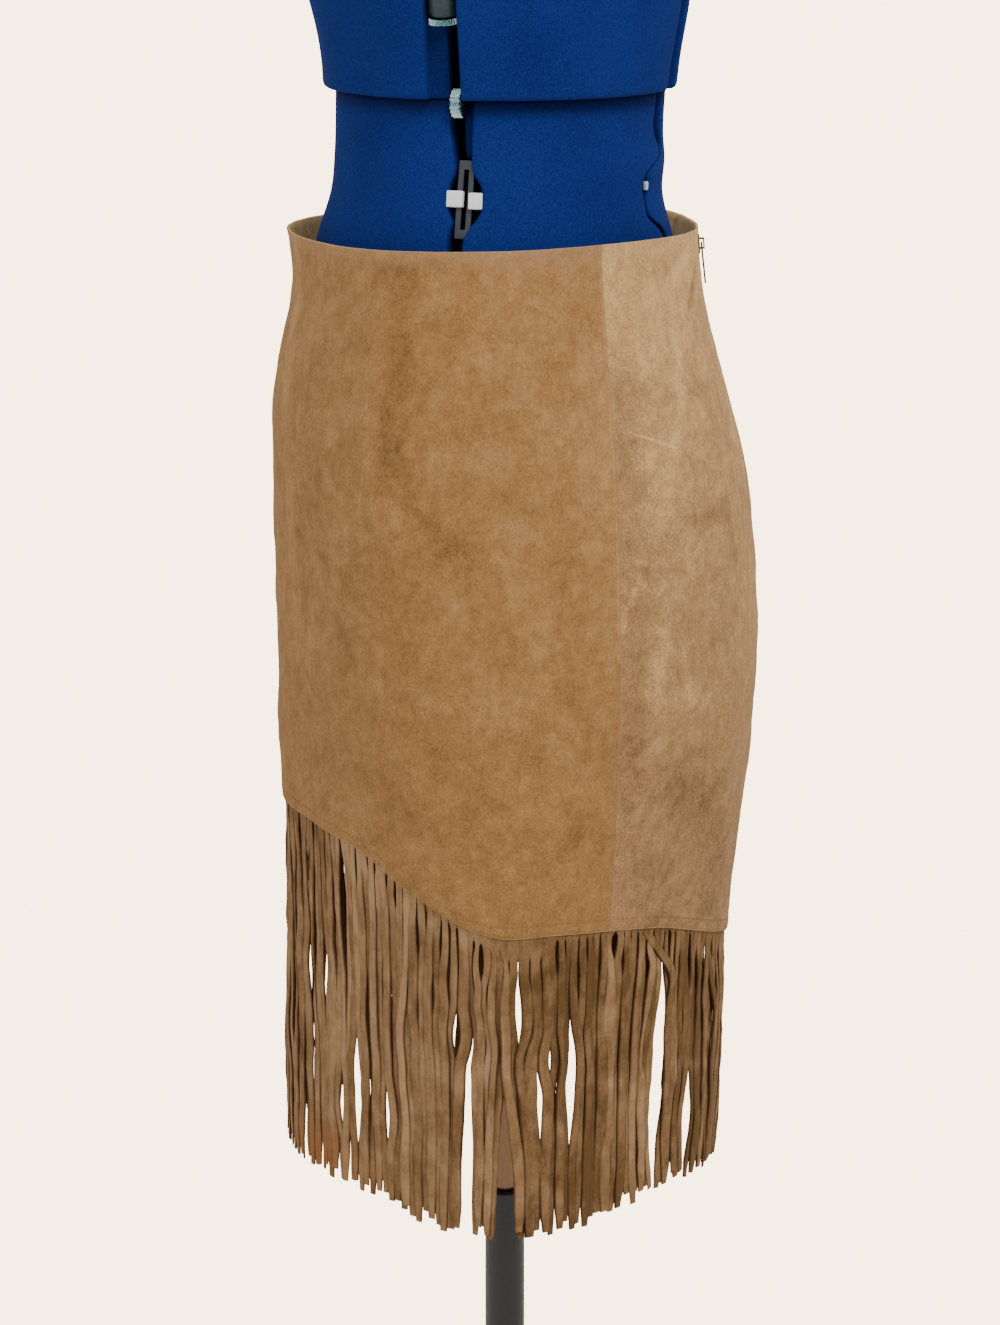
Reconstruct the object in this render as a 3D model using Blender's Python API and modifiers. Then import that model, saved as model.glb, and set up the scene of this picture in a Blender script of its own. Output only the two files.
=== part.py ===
"""A suede fringe skirt worn by a limbless dress form on a stand. Metres, +Z up, front at -Y, wearer's left at +X.

The skirt is cut as a tube: one wide front panel that wraps to a seam behind each side, and two back panels
that meet at a centre-back zip. Its hem is high at the front and low at the back, and a fringe strip, slit almost
to its top, is sewn behind the hem of each panel. The skirt hangs from the hips of the form, which stands on a
rod, a tube and a round base. Every piece is worked out from the sections and sizes below, and the origin is the
middle of the base's underside.
"""

import math
from collections import namedtuple

import bmesh
import bpy
import numpy as np
from mathutils import Matrix, Vector

for leftover in list(bpy.data.objects):
    bpy.data.objects.remove(leftover, do_unlink=True)

WAIST_HEIGHT = 1.000  # the skirt's top edge above the floor
SUEDE = 0.0016  # wall of a panel
FRINGE_THICKNESS = 0.0022  # reach of a fringe strip's slit strands through the wall
CLEARANCE = 0.0003  # between pieces that touch
SEAM_GAP = 0.0005  # between two panels' edges at a seam, narrowing a little through the wall
SEAM_PHASE = 110.5  # side-back seams, in degrees round from centre front
PANEL_ROWS = 18  # points down every panel, so that the edges of a seam match
HEM_ALLOWANCE = 0.012  # how far a fringe strip reaches up behind the hem
SEWN_BEHIND = 0.0005  # between a panel and the strip or tape sewn behind it

# Sections through the skirt. drop is the distance below its top edge; front, back and side are how far the
# section reaches from the pole's axis; corner is 2 for an oval and 1 for a lens with a crease at each side.
Section = namedtuple("Section", "drop front back side corner")
SKIRT = (
    Section(0.000, 0.1168, 0.1038, 0.1490, 2.00),
    Section(0.032, 0.1150, 0.1068, 0.1550, 2.00),
    Section(0.062, 0.1214, 0.1135, 0.1610, 2.00),
    Section(0.095, 0.1256, 0.1222, 0.1680, 2.00),
    Section(0.130, 0.1263, 0.1311, 0.1740, 1.95),
    Section(0.180, 0.1255, 0.1367, 0.1800, 1.85),
    Section(0.225, 0.1247, 0.1383, 0.1830, 1.70),
    Section(0.270, 0.1241, 0.1362, 0.1845, 1.55),
    Section(0.315, 0.1226, 0.1310, 0.1848, 1.38),
    Section(0.360, 0.1221, 0.1254, 0.1846, 1.25),
    Section(0.400, 0.1222, 0.1232, 0.1842, 1.18),
    Section(0.460, 0.1226, 0.1216, 0.1836, 1.10),
    Section(0.525, 0.1230, 0.1178, 0.1830, 1.05),
)

# The cut hem of the panels and the fringe's tips, round each half from centre front to centre back.
Edge = namedtuple("Edge", "phase drop")
HEM = (
    Edge(0, 0.3100),
    Edge(40, 0.3125),
    Edge(60, 0.3200),
    Edge(72, 0.3350),
    Edge(84, 0.3500),
    Edge(100, 0.3540),
    Edge(122, 0.3610),
    Edge(150, 0.3770),
    Edge(180, 0.3910),
)
TIPS = (
    Edge(0, 0.5070),
    Edge(50, 0.5050),
    Edge(90, 0.5160),
    Edge(135, 0.5080),
    Edge(180, 0.5170),
)

# The largest folds: a soft ridge on each centre, leaning round the skirt as it goes down.
# lean is in degrees for each metre, width in degrees, length and rise in metres.
Fold = namedtuple("Fold", "phase drop lean width length rise")
FOLDS = (
    Fold(102, 0.080, -110, 5.5, 0.050, 0.0026),
    Fold(150, 0.310, 120, 8.0, 0.045, 0.0024),
    Fold(66, 0.130, 60, 7.0, 0.040, 0.0016),
    Fold(20, 0.290, -60, 9.0, 0.050, 0.0018),
    Fold(-98, 0.095, 100, 6.0, 0.045, 0.0022),
    Fold(-146, 0.330, -100, 7.0, 0.050, 0.0026),
    Fold(-40, 0.280, 70, 8.0, 0.040, 0.0016),
)

# The dress form's two cloth-covered shells. A negative drop is above the skirt's top edge.
FORM_LOWER = (
    Section(-0.0730, 0.0890, 0.0865, 0.1240, 2.10),
    Section(-0.0500, 0.0895, 0.0850, 0.1230, 2.10),
    Section(-0.0200, 0.0925, 0.0850, 0.1260, 2.05),
    Section(0.0000, 0.1000, 0.0893, 0.1325, 2.00),
    Section(0.0250, 0.1070, 0.0965, 0.1420, 2.00),
    Section(0.0600, 0.1178, 0.1085, 0.1550, 2.00),
    Section(0.0950, 0.1228, 0.1175, 0.1635, 2.00),
    Section(0.1300, 0.1239, 0.1262, 0.1695, 1.95),
    Section(0.1800, 0.1230, 0.1330, 0.1755, 1.85),
    Section(0.2250, 0.1220, 0.1355, 0.1785, 1.75),
    Section(0.2600, 0.1190, 0.1315, 0.1770, 1.75),
    Section(0.2760, 0.1120, 0.1235, 0.1700, 1.80),
    Section(0.2850, 0.0990, 0.1100, 0.1570, 1.90),
)
FORM_UPPER = (
    Section(-0.5300, 0.0550, 0.0590, 0.0570, 2.00),
    Section(-0.4850, 0.0560, 0.0640, 0.0590, 2.00),
    Section(-0.4620, 0.0590, 0.0720, 0.0700, 2.00),
    Section(-0.4480, 0.0640, 0.0800, 0.0940, 2.00),
    Section(-0.4350, 0.0700, 0.0870, 0.1230, 2.05),
    Section(-0.4180, 0.0770, 0.0960, 0.1500, 2.10),
    Section(-0.3950, 0.0850, 0.1040, 0.1650, 2.15),
    Section(-0.3550, 0.0980, 0.1110, 0.1660, 2.20),
    Section(-0.3100, 0.1160, 0.1130, 0.1600, 2.20),
    Section(-0.2700, 0.1330, 0.1110, 0.1570, 2.15),
    Section(-0.2350, 0.1390, 0.1080, 0.1560, 2.10),
    Section(-0.2000, 0.1330, 0.1060, 0.1520, 2.10),
    Section(-0.1600, 0.1170, 0.1030, 0.1450, 2.10),
    Section(-0.1200, 0.1030, 0.0990, 0.1390, 2.10),
    Section(-0.0900, 0.0968, 0.0940, 0.1335, 2.10),
    Section(-0.0733, 0.0955, 0.0925, 0.1310, 2.10),
)

ZIP_TOP = 0.0045  # the tape's end below the skirt's top edge
ZIP_LENGTH = 0.170
ZIP_SLOT = 0.0090  # between the panels' edges along the zip
ZIP_SLOT_CLOSES = 0.016  # length over which the slot narrows to the seam below it
TAPE_WIDTH, TAPE_THICKNESS = 0.024, 0.0008
CHAIN_WIDTH, CHAIN_THICKNESS = 0.0050, 0.0014
SLIDER_WIDTH, SLIDER_LENGTH, SLIDER_THICKNESS = 0.0080, 0.0105, 0.0024
BRIDGE_WIDTH, BRIDGE_LENGTH, BRIDGE_HEIGHT = 0.0020, 0.0062, 0.0026
BRIDGE_OPENING_LENGTH, BRIDGE_OPENING_HEIGHT = 0.0042, 0.0018
PULL_WIDTH, PULL_LENGTH, PULL_THICKNESS = 0.0052, 0.0220, 0.0009
PULL_WINDOW_WIDTH, PULL_WINDOW_LENGTH, PULL_BAR = 0.0028, 0.0042, 0.0010
PULL_STANDS_OFF = math.radians(2)  # how far the hanging tab leans out over the swell of the cloth

FORM_BOTTOM = FORM_LOWER[-1].drop
ROD_RADIUS = 0.0060
TUBE_RADIUS, TUBE_TOP, TUBE_BORE_DEPTH = 0.0110, 0.4600, 0.0400
SOCKET_RADIUS, SOCKET_HEIGHT, SOCKET_FLANGE, FLANGE_THICKNESS = 0.0140, 0.0400, 0.0450, 0.0050
SOCKET_DEPTH = 0.0300
BASE_RADIUS, BASE_EDGE, BASE_CROWN = 0.2150, 0.0080, 0.0180
BOSS_RADIUS, BOSS_HEIGHT, BOSS_BORE_FLOOR = 0.0200, 0.0450, 0.0100
CAP_RADIUS, CAP_EDGE, CAP_CROWN = 0.0620, 0.0100, 0.0180

model = bpy.data.collections.new("suede_fringe_skirt_on_form")
cutters = bpy.data.collections.new("cutters")
bpy.context.scene.collection.children.link(model)
bpy.context.scene.collection.children.link(cutters)


def finish(name, colour, roughness, metallic=0.0):
    """A Principled material of one finish."""
    material = bpy.data.materials.new(name)
    material.use_nodes = True
    shader = material.node_tree.nodes["Principled BSDF"]
    shader.inputs["Base Color"].default_value = (*colour, 1.0)
    shader.inputs["Roughness"].default_value = roughness
    shader.inputs["Metallic"].default_value = metallic
    material.diffuse_color = (*colour, 1.0)
    return material


TAN_SUEDE = finish("tan_suede", (0.31, 0.16, 0.060), 0.95)
PALE_SUEDE = finish("pale_suede", (0.40, 0.24, 0.120), 0.95)
FRINGE_SUEDE = finish("fringe_suede", (0.26, 0.14, 0.055), 0.95)
ZIP_CLOTH = finish("zip_cloth", (0.10, 0.055, 0.025), 0.90)
OLD_BRASS = finish("old_brass", (0.42, 0.30, 0.13), 0.35, 1.0)
BLUE_CLOTH = finish("blue_cloth", (0.006, 0.030, 0.180), 0.92)
BLACK_PAINT = finish("black_paint", (0.012, 0.012, 0.013), 0.45)
BRIGHT_STEEL = finish("bright_steel", (0.560, 0.550, 0.530), 0.22, 1.0)
BLACK_PLASTIC = finish("black_plastic", (0.018, 0.018, 0.020), 0.40)


def put(obj, material, collection=model):
    """Gives an object its finish and its collection."""
    for other in obj.users_collection:
        other.objects.unlink(obj)
    collection.objects.link(obj)
    obj.data.materials.append(material)
    return obj


def ease(rows, at):
    """The row of a table at a place in its first column, on smooth curves through all its columns."""
    table = np.array(rows, dtype=float)
    keys = table[:, 0]
    slopes = np.gradient(table, keys, axis=0)
    low = int(np.clip(np.searchsorted(keys, at) - 1, 0, len(keys) - 2))
    span = keys[low + 1] - keys[low]
    t = (at - keys[low]) / span
    before = (2 * t**3 - 3 * t**2 + 1) * table[low] + (t**3 - 2 * t**2 + t) * span * slopes[low]
    after = (3 * t**2 - 2 * t**3) * table[low + 1] + (t**3 - t**2) * span * slopes[low + 1]
    return type(rows[0])(*(before + after))


def reach(section, phase):
    """How far a section reaches from the axis at a phase: 0 degrees is the front, 90 the wearer's left."""
    turn = math.radians(phase)
    across = abs(math.sin(turn)) / section.side
    along = abs(math.cos(turn)) / (section.front if math.cos(turn) > 0 else section.back)
    inside, outside = 0.0, section.side + section.front + section.back
    for _ in range(40):
        middle = (inside + outside) / 2
        if (middle * across) ** 2 + (middle * along) ** section.corner > 1:
            outside = middle
        else:
            inside = middle
    return inside


def around(radius, phase, drop):
    """The point at a radius and phase, and a drop below the skirt's top edge."""
    turn = math.radians(phase)
    return Vector((radius * math.sin(turn), -radius * math.cos(turn), WAIST_HEIGHT - drop))


def fold_rise(phase, drop):
    """How far the folds lift the cloth at one place."""
    rise = 0.0
    for fold in FOLDS:
        beside = (phase - fold.phase - fold.lean * (drop - fold.drop) + 180) % 360 - 180
        rise += fold.rise * math.exp(-((beside / fold.width) ** 2) - ((drop - fold.drop) / fold.length) ** 2)
    return rise


def skirt_surface(phase, drop):
    """A point on the outer face of the skirt."""
    return around(reach(ease(SKIRT, drop), phase) + fold_rise(phase, drop), phase, drop)


def skirt_normal(phase, drop):
    """The outward normal of the skirt's outer face."""
    step_phase, step_drop = 0.5, 0.002
    round_it = skirt_surface(phase + step_phase, drop) - skirt_surface(phase - step_phase, drop)
    down_it = skirt_surface(phase, drop + step_drop) - skirt_surface(phase, drop - step_drop)
    return down_it.cross(round_it).normalized()


def under_skirt(phase, drop, inset):
    """A point that lies a distance inside the skirt's outer face."""
    return skirt_surface(phase, drop) - skirt_normal(phase, drop) * inset


def beside_back(side, offset, drop):
    """The phase a distance to one side of centre back; side is 1 for the left and -1 for the right."""
    return side * (180 - math.degrees(offset / reach(ease(SKIRT, drop), 180)))


def hem_drop(phase):
    return ease(HEM, abs(phase)).drop


def tips_drop(phase):
    return ease(TIPS, abs(phase)).drop


def wall(name, columns, thickness, material):
    """A wall from the columns of points of its outer face, each from the top down, in the order of their phase."""
    shell = bmesh.new()
    lines = [[shell.verts.new(point) for point in column] for column in columns]
    for line, following in zip(lines, lines[1:]):
        for row in range(len(line) - 1):
            shell.faces.new((line[row], line[row + 1], following[row + 1], following[row]))
    mesh = bpy.data.meshes.new(name)
    shell.to_mesh(mesh)
    shell.free()
    mesh.shade_smooth()
    obj = put(bpy.data.objects.new(name, mesh), material)
    solid = obj.modifiers.new("wall", "SOLIDIFY")
    solid.thickness = thickness
    solid.offset = -1.0
    solid.use_even_offset = True
    return obj


def seam_edge():
    """The phase of the front panel's edge: half a gap short of the seam."""
    return SEAM_PHASE - math.degrees(SEAM_GAP / 2 / SKIRT[6].side)


def front_phases():
    """The front panel's columns, with one on the crease at each side."""
    edge = seam_edge()
    middle = np.linspace(-90, 90, 33)
    return [*np.linspace(-edge, -90, 5)[:-1], *middle, *np.linspace(90, edge, 5)[1:]]


def front_panel(rows=PANEL_ROWS):
    columns = []
    for phase in front_phases():
        drops = np.linspace(0, hem_drop(phase), rows)
        columns.append([skirt_surface(phase, drop) for drop in drops])
    return wall("front_panel", columns, SUEDE, TAN_SUEDE)


def back_opening(drop):
    """Half the opening at centre back: the zip's slot, then the seam."""
    closed = min(1.0, max(0.0, (drop - ZIP_TOP - ZIP_LENGTH) / ZIP_SLOT_CLOSES))
    return ZIP_SLOT / 2 * (1 - closed) + SEAM_GAP / 2 * closed


def back_phase(side, share, drop):
    """The phase at a share of the way from the seam to centre back."""
    start = side * (2 * SEAM_PHASE - seam_edge())
    end = beside_back(side, back_opening(drop), drop)
    return start + share * (end - start)


def back_panel(name, side, material, columns=14, rows=PANEL_ROWS):
    shares = np.linspace(0, 1, columns)
    lines = []
    for share in shares if side > 0 else shares[::-1]:
        drops = np.linspace(0, hem_drop(back_phase(side, share, HEM[-1].drop)), rows)
        lines.append([skirt_surface(back_phase(side, share, drop), drop) for drop in drops])
    return wall(name, lines, SUEDE, material)


def fringe(name, phases, rows=6):
    """The plain solid of a fringe strip's reach, from behind the hem to the tips."""
    inset = SUEDE + SEWN_BEHIND
    columns = []
    for phase in phases:
        drops = np.linspace(hem_drop(phase) - HEM_ALLOWANCE, tips_drop(phase), rows)
        columns.append([under_skirt(phase, drop, inset) for drop in drops])
    return wall(name, columns, FRINGE_THICKNESS, FRINGE_SUEDE)


def back_fringe(name, side, columns=12):
    start = side * (2 * SEAM_PHASE - seam_edge())
    end = beside_back(side, SEAM_GAP / 2, HEM[-1].drop)
    return fringe(name, np.linspace(min(start, end), max(start, end), columns))


def back_strip(name, half_width, start, length, inset, thickness, material, columns, rows):
    """A strip up centre back, a distance inside the skirt's outer face."""
    lines = []
    for offset in np.linspace(half_width, -half_width, columns):
        side = 1 if offset >= 0 else -1
        drops = np.linspace(start, start + length, rows)
        phases = [beside_back(side, abs(offset), drop) % 360 for drop in drops]
        lines.append([under_skirt(phase, drop, inset) for phase, drop in zip(phases, drops)])
    return wall(name, lines, thickness, material)


def block(name, size, place, collection=model, material=OLD_BRASS):
    """A box of a size, centred on a place, its size in its mesh."""
    bpy.ops.mesh.primitive_cube_add(size=1.0, location=place)
    obj = bpy.context.object
    obj.name = name
    obj.data.transform(Matrix.Diagonal((*size, 1.0)))
    return put(obj, material, collection)


def hide(obj, pivot):
    """Makes an object a cutter that rides with the zip's frame."""
    obj.parent = pivot
    obj.hide_render = True
    obj.display_type = "WIRE"
    return obj


def zip_frame():
    """An empty on the pull tab's axis: its X along the axis, its Z out of the cloth and its Y up the zip."""
    slider_drop = ZIP_TOP + SLIDER_LENGTH / 2
    out = skirt_normal(180, slider_drop)
    along = Vector((-1.0, 0.0, 0.0))
    up = out.cross(along)
    seat = SUEDE - SLIDER_THICKNESS - BRIDGE_OPENING_HEIGHT / 2
    place = under_skirt(180, slider_drop, seat)
    pivot = bpy.data.objects.new("zip_pull_axis", None)
    pivot.matrix_world = Matrix.Translation(place) @ Matrix((along, up, out)).transposed().to_4x4()
    pivot.empty_display_size = 0.01
    model.objects.link(pivot)
    return pivot


def zip_slider(pivot):
    """The slider's body with a bridge over its face, in the pull tab's frame."""
    top = -BRIDGE_OPENING_HEIGHT / 2
    size = (SLIDER_WIDTH, SLIDER_LENGTH, SLIDER_THICKNESS)
    slider = block("zip_slider", size, (0, 0, top - SLIDER_THICKNESS / 2))
    slider.parent = pivot
    rounded = slider.modifiers.new("rounded", "BEVEL")
    rounded.width = 0.0006
    rounded.segments = 2
    bridge_size = (BRIDGE_WIDTH, BRIDGE_LENGTH, BRIDGE_HEIGHT + SLIDER_THICKNESS / 2)
    bridge_place = (0, 0, top + (BRIDGE_HEIGHT - SLIDER_THICKNESS / 2) / 2)
    bridge = hide(block("bridge_block", bridge_size, bridge_place, cutters), pivot)
    opening_size = (BRIDGE_WIDTH * 2, BRIDGE_OPENING_LENGTH, BRIDGE_OPENING_HEIGHT)
    opening = hide(block("bridge_opening", opening_size, (0, 0, 0), cutters), pivot)
    for name, operation, tool in (("bridge", "UNION", bridge), ("opening", "DIFFERENCE", opening)):
        cut = slider.modifiers.new(name, "BOOLEAN")
        cut.operation = operation
        cut.object = tool
    return slider


def outline(curve, points):
    """Adds a closed straight-sided outline to a flat curve."""
    spline = curve.splines.new("POLY")
    spline.points.add(len(points) - 1)
    for point, (x, y) in zip(spline.points, points):
        point.co = (x, y, 0.0, 1.0)
    spline.use_cyclic_u = True


def rounded_end(half_width, end, steps=8):
    """Points round the foot of a strip that hangs down from y = 0 to y = -end."""
    angles = [math.pi * step / steps for step in range(steps + 1)]
    centre = -end + half_width
    return [(half_width * math.cos(a), centre - half_width * math.sin(a)) for a in angles]


def zip_pull(pivot):
    """The pull tab: a flat strip whose top bar lies under the slider's bridge."""
    curve = bpy.data.curves.new("zip_pull", "CURVE")
    curve.dimensions = "2D"
    curve.fill_mode = "BOTH"
    curve.extrude = PULL_THICKNESS / 2
    half, bar = PULL_WIDTH / 2, PULL_BAR / 2
    outline(curve, [(-half, bar), (half, bar), *rounded_end(half, PULL_LENGTH)])
    window, foot = PULL_WINDOW_WIDTH / 2, -bar - PULL_WINDOW_LENGTH
    outline(curve, [(-window, -bar), (window, -bar), (window, foot), (-window, foot)])
    tab = put(bpy.data.objects.new("zip_pull", curve), OLD_BRASS)
    tab.parent = pivot
    tab.rotation_euler = (-PULL_STANDS_OFF, 0.0, 0.0)
    return tab


def form_shell(name, sections, columns=44, material=BLUE_CLOTH):
    """A closed body through the sections, flat at both ends."""
    body = bmesh.new()
    rings = []
    for section in sections:
        phases = [360 * column / columns for column in range(columns)]
        ring = [body.verts.new(around(reach(section, phase), phase, section.drop)) for phase in phases]
        rings.append(ring)
    for ring, below in zip(rings, rings[1:]):
        for column in range(columns):
            following = (column + 1) % columns
            body.faces.new((ring[column], below[column], below[following], ring[following]))
    body.faces.new(rings[0])
    body.faces.new(reversed(rings[-1]))
    mesh = bpy.data.meshes.new(name)
    body.to_mesh(mesh)
    body.free()
    mesh.shade_smooth()
    mesh.set_sharp_from_angle(angle=math.radians(50))
    return put(bpy.data.objects.new(name, mesh), material)


def turned(name, profile, material, steps=40):
    """A body turned about the pole's axis from a profile of (radius, height) that runs down its outside."""
    curve = bmesh.new()
    verts = [curve.verts.new((radius, 0.0, height)) for radius, height in profile]
    for start, end in zip(verts, verts[1:]):
        curve.edges.new((start, end))
    mesh = bpy.data.meshes.new(name)
    curve.to_mesh(mesh)
    curve.free()
    obj = put(bpy.data.objects.new(name, mesh), material)
    screw = obj.modifiers.new("turned", "SCREW")
    screw.steps = steps
    screw.render_steps = steps
    screw.use_merge_vertices = True
    screw.merge_threshold = 0.00001
    screw.use_smooth_shade = True
    return obj


def crown(radius, edge, height, steps=5):
    """Points down a low dome from its middle to its edge, both heights above its foot."""
    turns = [math.pi / 2 * step / steps for step in range(steps + 1)]
    return [(radius * math.sin(turn), edge + (height - edge) * math.cos(turn)) for turn in turns]


def neck_cap():
    foot = WAIST_HEIGHT - FORM_UPPER[0].drop + CLEARANCE
    dome = [(radius, foot + height) for radius, height in crown(CAP_RADIUS, CAP_EDGE, CAP_CROWN)]
    return turned("neck_cap", [*dome, (CAP_RADIUS, foot), (0.0, foot)], BLACK_PLASTIC)


def pole_socket():
    """A flanged socket under the form, open below for the rod."""
    top = WAIST_HEIGHT - FORM_BOTTOM - CLEARANCE
    bore = ROD_RADIUS + CLEARANCE
    profile = [
        (0.0, top),
        (SOCKET_FLANGE, top),
        (SOCKET_FLANGE, top - FLANGE_THICKNESS),
        (SOCKET_RADIUS, top - FLANGE_THICKNESS),
        (SOCKET_RADIUS, top - SOCKET_HEIGHT),
        (bore, top - SOCKET_HEIGHT),
        (bore, top - SOCKET_HEIGHT + SOCKET_DEPTH),
        (0.0, top - SOCKET_HEIGHT + SOCKET_DEPTH),
    ]
    return turned("pole_socket", profile, BLACK_PAINT)


def pole_rod():
    """The pole's upper half: a bright rod from the socket down into the tube."""
    top = WAIST_HEIGHT - FORM_BOTTOM - SOCKET_HEIGHT + SOCKET_DEPTH - 2 * CLEARANCE
    foot = TUBE_TOP - TUBE_BORE_DEPTH + CLEARANCE
    profile = [(0.0, top), (ROD_RADIUS, top), (ROD_RADIUS, foot), (0.0, foot)]
    return turned("pole_rod", profile, BRIGHT_STEEL)


def pole_tube():
    """The pole's lower half: a thicker black tube, open above for the rod, that stands in the base."""
    bore = ROD_RADIUS + CLEARANCE
    bore_floor = TUBE_TOP - TUBE_BORE_DEPTH
    foot = BOSS_BORE_FLOOR + CLEARANCE
    profile = [
        (0.0, bore_floor),
        (bore, bore_floor),
        (bore, TUBE_TOP),
        (TUBE_RADIUS, TUBE_TOP),
        (TUBE_RADIUS, foot),
        (0.0, foot),
    ]
    return turned("pole_tube", profile, BLACK_PAINT)


def base():
    """A round weighted base with a boss that the tube stands in."""
    bore = TUBE_RADIUS + CLEARANCE
    dome = [point for point in crown(BASE_RADIUS, BASE_EDGE, BASE_CROWN) if point[0] > BOSS_RADIUS]
    profile = [
        (0.0, BOSS_BORE_FLOOR),
        (bore, BOSS_BORE_FLOOR),
        (bore, BOSS_HEIGHT),
        (BOSS_RADIUS, BOSS_HEIGHT),
        (BOSS_RADIUS, BASE_CROWN),
        *dome,
        (BASE_RADIUS, 0.0),
        (0.0, 0.0),
    ]
    return turned("base", profile, BLACK_PAINT)


front_panel()
back_panel("left_back_panel", 1, PALE_SUEDE)
back_panel("right_back_panel", -1, PALE_SUEDE)
fringe("front_fringe", front_phases())
back_fringe("left_back_fringe", 1)
back_fringe("right_back_fringe", -1)

tape_inset = SUEDE + SEWN_BEHIND
chain_start = ZIP_TOP + SLIDER_LENGTH + 2 * CLEARANCE
chain_length = ZIP_LENGTH + ZIP_TOP - chain_start
back_strip("zip_tape", TAPE_WIDTH / 2, ZIP_TOP, ZIP_LENGTH, tape_inset, TAPE_THICKNESS, ZIP_CLOTH, 7, 12)
chain_inset = tape_inset - CLEARANCE - CHAIN_THICKNESS
back_strip("zip_chain", CHAIN_WIDTH / 2, chain_start, chain_length, chain_inset, CHAIN_THICKNESS, OLD_BRASS, 3, 12)
pull_axis = zip_frame()
zip_slider(pull_axis)
zip_pull(pull_axis)

form_shell("form_upper", FORM_UPPER)
form_shell("form_lower", FORM_LOWER)
neck_cap()
pole_socket()
pole_rod()
pole_tube()
base()
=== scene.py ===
"""A suede fringe skirt on a limbless dress form with a stand: the finish of every surface.

Metres, +Z up, front at -Y, the wearer's left at +X. A place on the skirt or the form is given as a phase, in
degrees round from centre front towards the wearer's left, and a drop below the skirt's top edge.
"""

import math
from collections import namedtuple

import bmesh
import bpy
import numpy as np
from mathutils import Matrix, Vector


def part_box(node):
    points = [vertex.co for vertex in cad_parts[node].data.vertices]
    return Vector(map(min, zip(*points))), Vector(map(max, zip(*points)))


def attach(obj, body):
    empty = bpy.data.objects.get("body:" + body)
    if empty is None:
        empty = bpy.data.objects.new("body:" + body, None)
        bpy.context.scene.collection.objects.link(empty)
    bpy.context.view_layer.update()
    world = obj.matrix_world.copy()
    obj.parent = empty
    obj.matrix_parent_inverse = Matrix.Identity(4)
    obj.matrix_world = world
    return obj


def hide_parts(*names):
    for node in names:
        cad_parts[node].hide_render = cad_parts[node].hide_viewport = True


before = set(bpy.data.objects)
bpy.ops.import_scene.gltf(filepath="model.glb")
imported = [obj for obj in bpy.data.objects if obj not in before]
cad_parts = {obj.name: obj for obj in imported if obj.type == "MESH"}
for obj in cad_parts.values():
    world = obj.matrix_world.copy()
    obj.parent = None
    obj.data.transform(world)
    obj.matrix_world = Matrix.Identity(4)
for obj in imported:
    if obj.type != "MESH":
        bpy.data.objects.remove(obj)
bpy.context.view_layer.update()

# ---------------------------------------------------------------------------------------------------------
# The studio: a plain pale floor under a soft key light, a weak fill and a light from the far side. The
# camera stands level with the wearer's left hip, a little above the skirt, and looks slightly down.

CAMERA_PLACE = (2.65, -0.0027, 1.246)
CAMERA_DIPS = 10.4  # degrees below the horizon
CAMERA_LENS = 133.2
FLOOR_COLOUR = (0.8, 0.765, 0.72)
FLOOR_GLOW = (5.2, 3.95, 2.6)
FLOOR_HALF = 90.0
SKY_COLOUR = (1.0, 0.98, 0.95)
SKY_STRENGTH = 0.6
BACKDROP_STRENGTH = 1.25
SUN_COLOUR = (1.0, 0.97, 0.93)


def table_of(kind, *rows):
    """A table whose rows are all of one kind."""
    return tuple(kind(*row) for row in rows)


Sun = namedtuple("Sun", "name azimuth height strength softness")
SUNS = table_of(
    Sun,
    ("key", 116, 48, 2.62, 22),
    ("fill", 15, 30, 0.65, 80),
    ("far_side", 270, 38, 1.3, 60),
)


def node(tree, kind, values=None, **settings):
    """A node of a tree, with its settings made and its inputs given values or links."""
    made = tree.nodes.new(kind)
    for name, value in settings.items():
        setattr(made, name, value)
    for name, value in (values or {}).items():
        if isinstance(value, bpy.types.NodeSocket):
            tree.links.new(value, made.inputs[name])
        else:
            made.inputs[name].default_value = value
    return made


def blank_material(name):
    """A material whose tree holds only its output."""
    material = bpy.data.materials.new(name)
    material.use_nodes = True
    material.node_tree.nodes.clear()
    node(material.node_tree, "ShaderNodeOutputMaterial").name = "output"
    return material


def surface_of(material, shader):
    material.node_tree.links.new(shader.outputs[0], material.node_tree.nodes["output"].inputs["Surface"])


def mesh_of(name, body):
    """A mesh made from an edited body, which is freed."""
    mesh = bpy.data.meshes.new(name)
    body.to_mesh(mesh)
    body.free()
    return mesh


def place_camera():
    camera = bpy.data.objects.new("camera", bpy.data.cameras.new("camera"))
    camera.data.lens = CAMERA_LENS
    camera.data.sensor_width = 36.0
    camera.location = CAMERA_PLACE
    camera.rotation_euler = (math.radians(90 - CAMERA_DIPS), 0.0, math.radians(90))
    bpy.context.scene.collection.objects.link(camera)
    bpy.context.scene.camera = camera


def lay_floor():
    """A wide floor whose paleness is partly its own for the camera alone, so that soft shadows stay soft."""
    material = blank_material("studio_floor")
    tree = material.node_tree
    paper = node(tree, "ShaderNodeBsdfDiffuse", {"Color": (*FLOOR_COLOUR, 1.0)})
    glow = node(tree, "ShaderNodeEmission", {"Color": (*FLOOR_GLOW, 1.0)})
    seen = node(tree, "ShaderNodeLightPath").outputs["Is Camera Ray"]
    dark = node(tree, "ShaderNodeEmission", {"Strength": 0.0})
    lit = node(tree, "ShaderNodeMixShader", {0: seen, 1: dark.outputs[0], 2: glow.outputs[0]})
    surface_of(material, node(tree, "ShaderNodeAddShader", {0: paper.outputs[0], 1: lit.outputs[0]}))
    sheet = bmesh.new()
    bmesh.ops.create_grid(sheet, x_segments=1, y_segments=1, size=FLOOR_HALF)
    mesh = mesh_of("floor", sheet)
    floor = bpy.data.objects.new("floor", mesh)
    mesh.materials.append(material)
    bpy.context.scene.collection.objects.link(floor)


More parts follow.
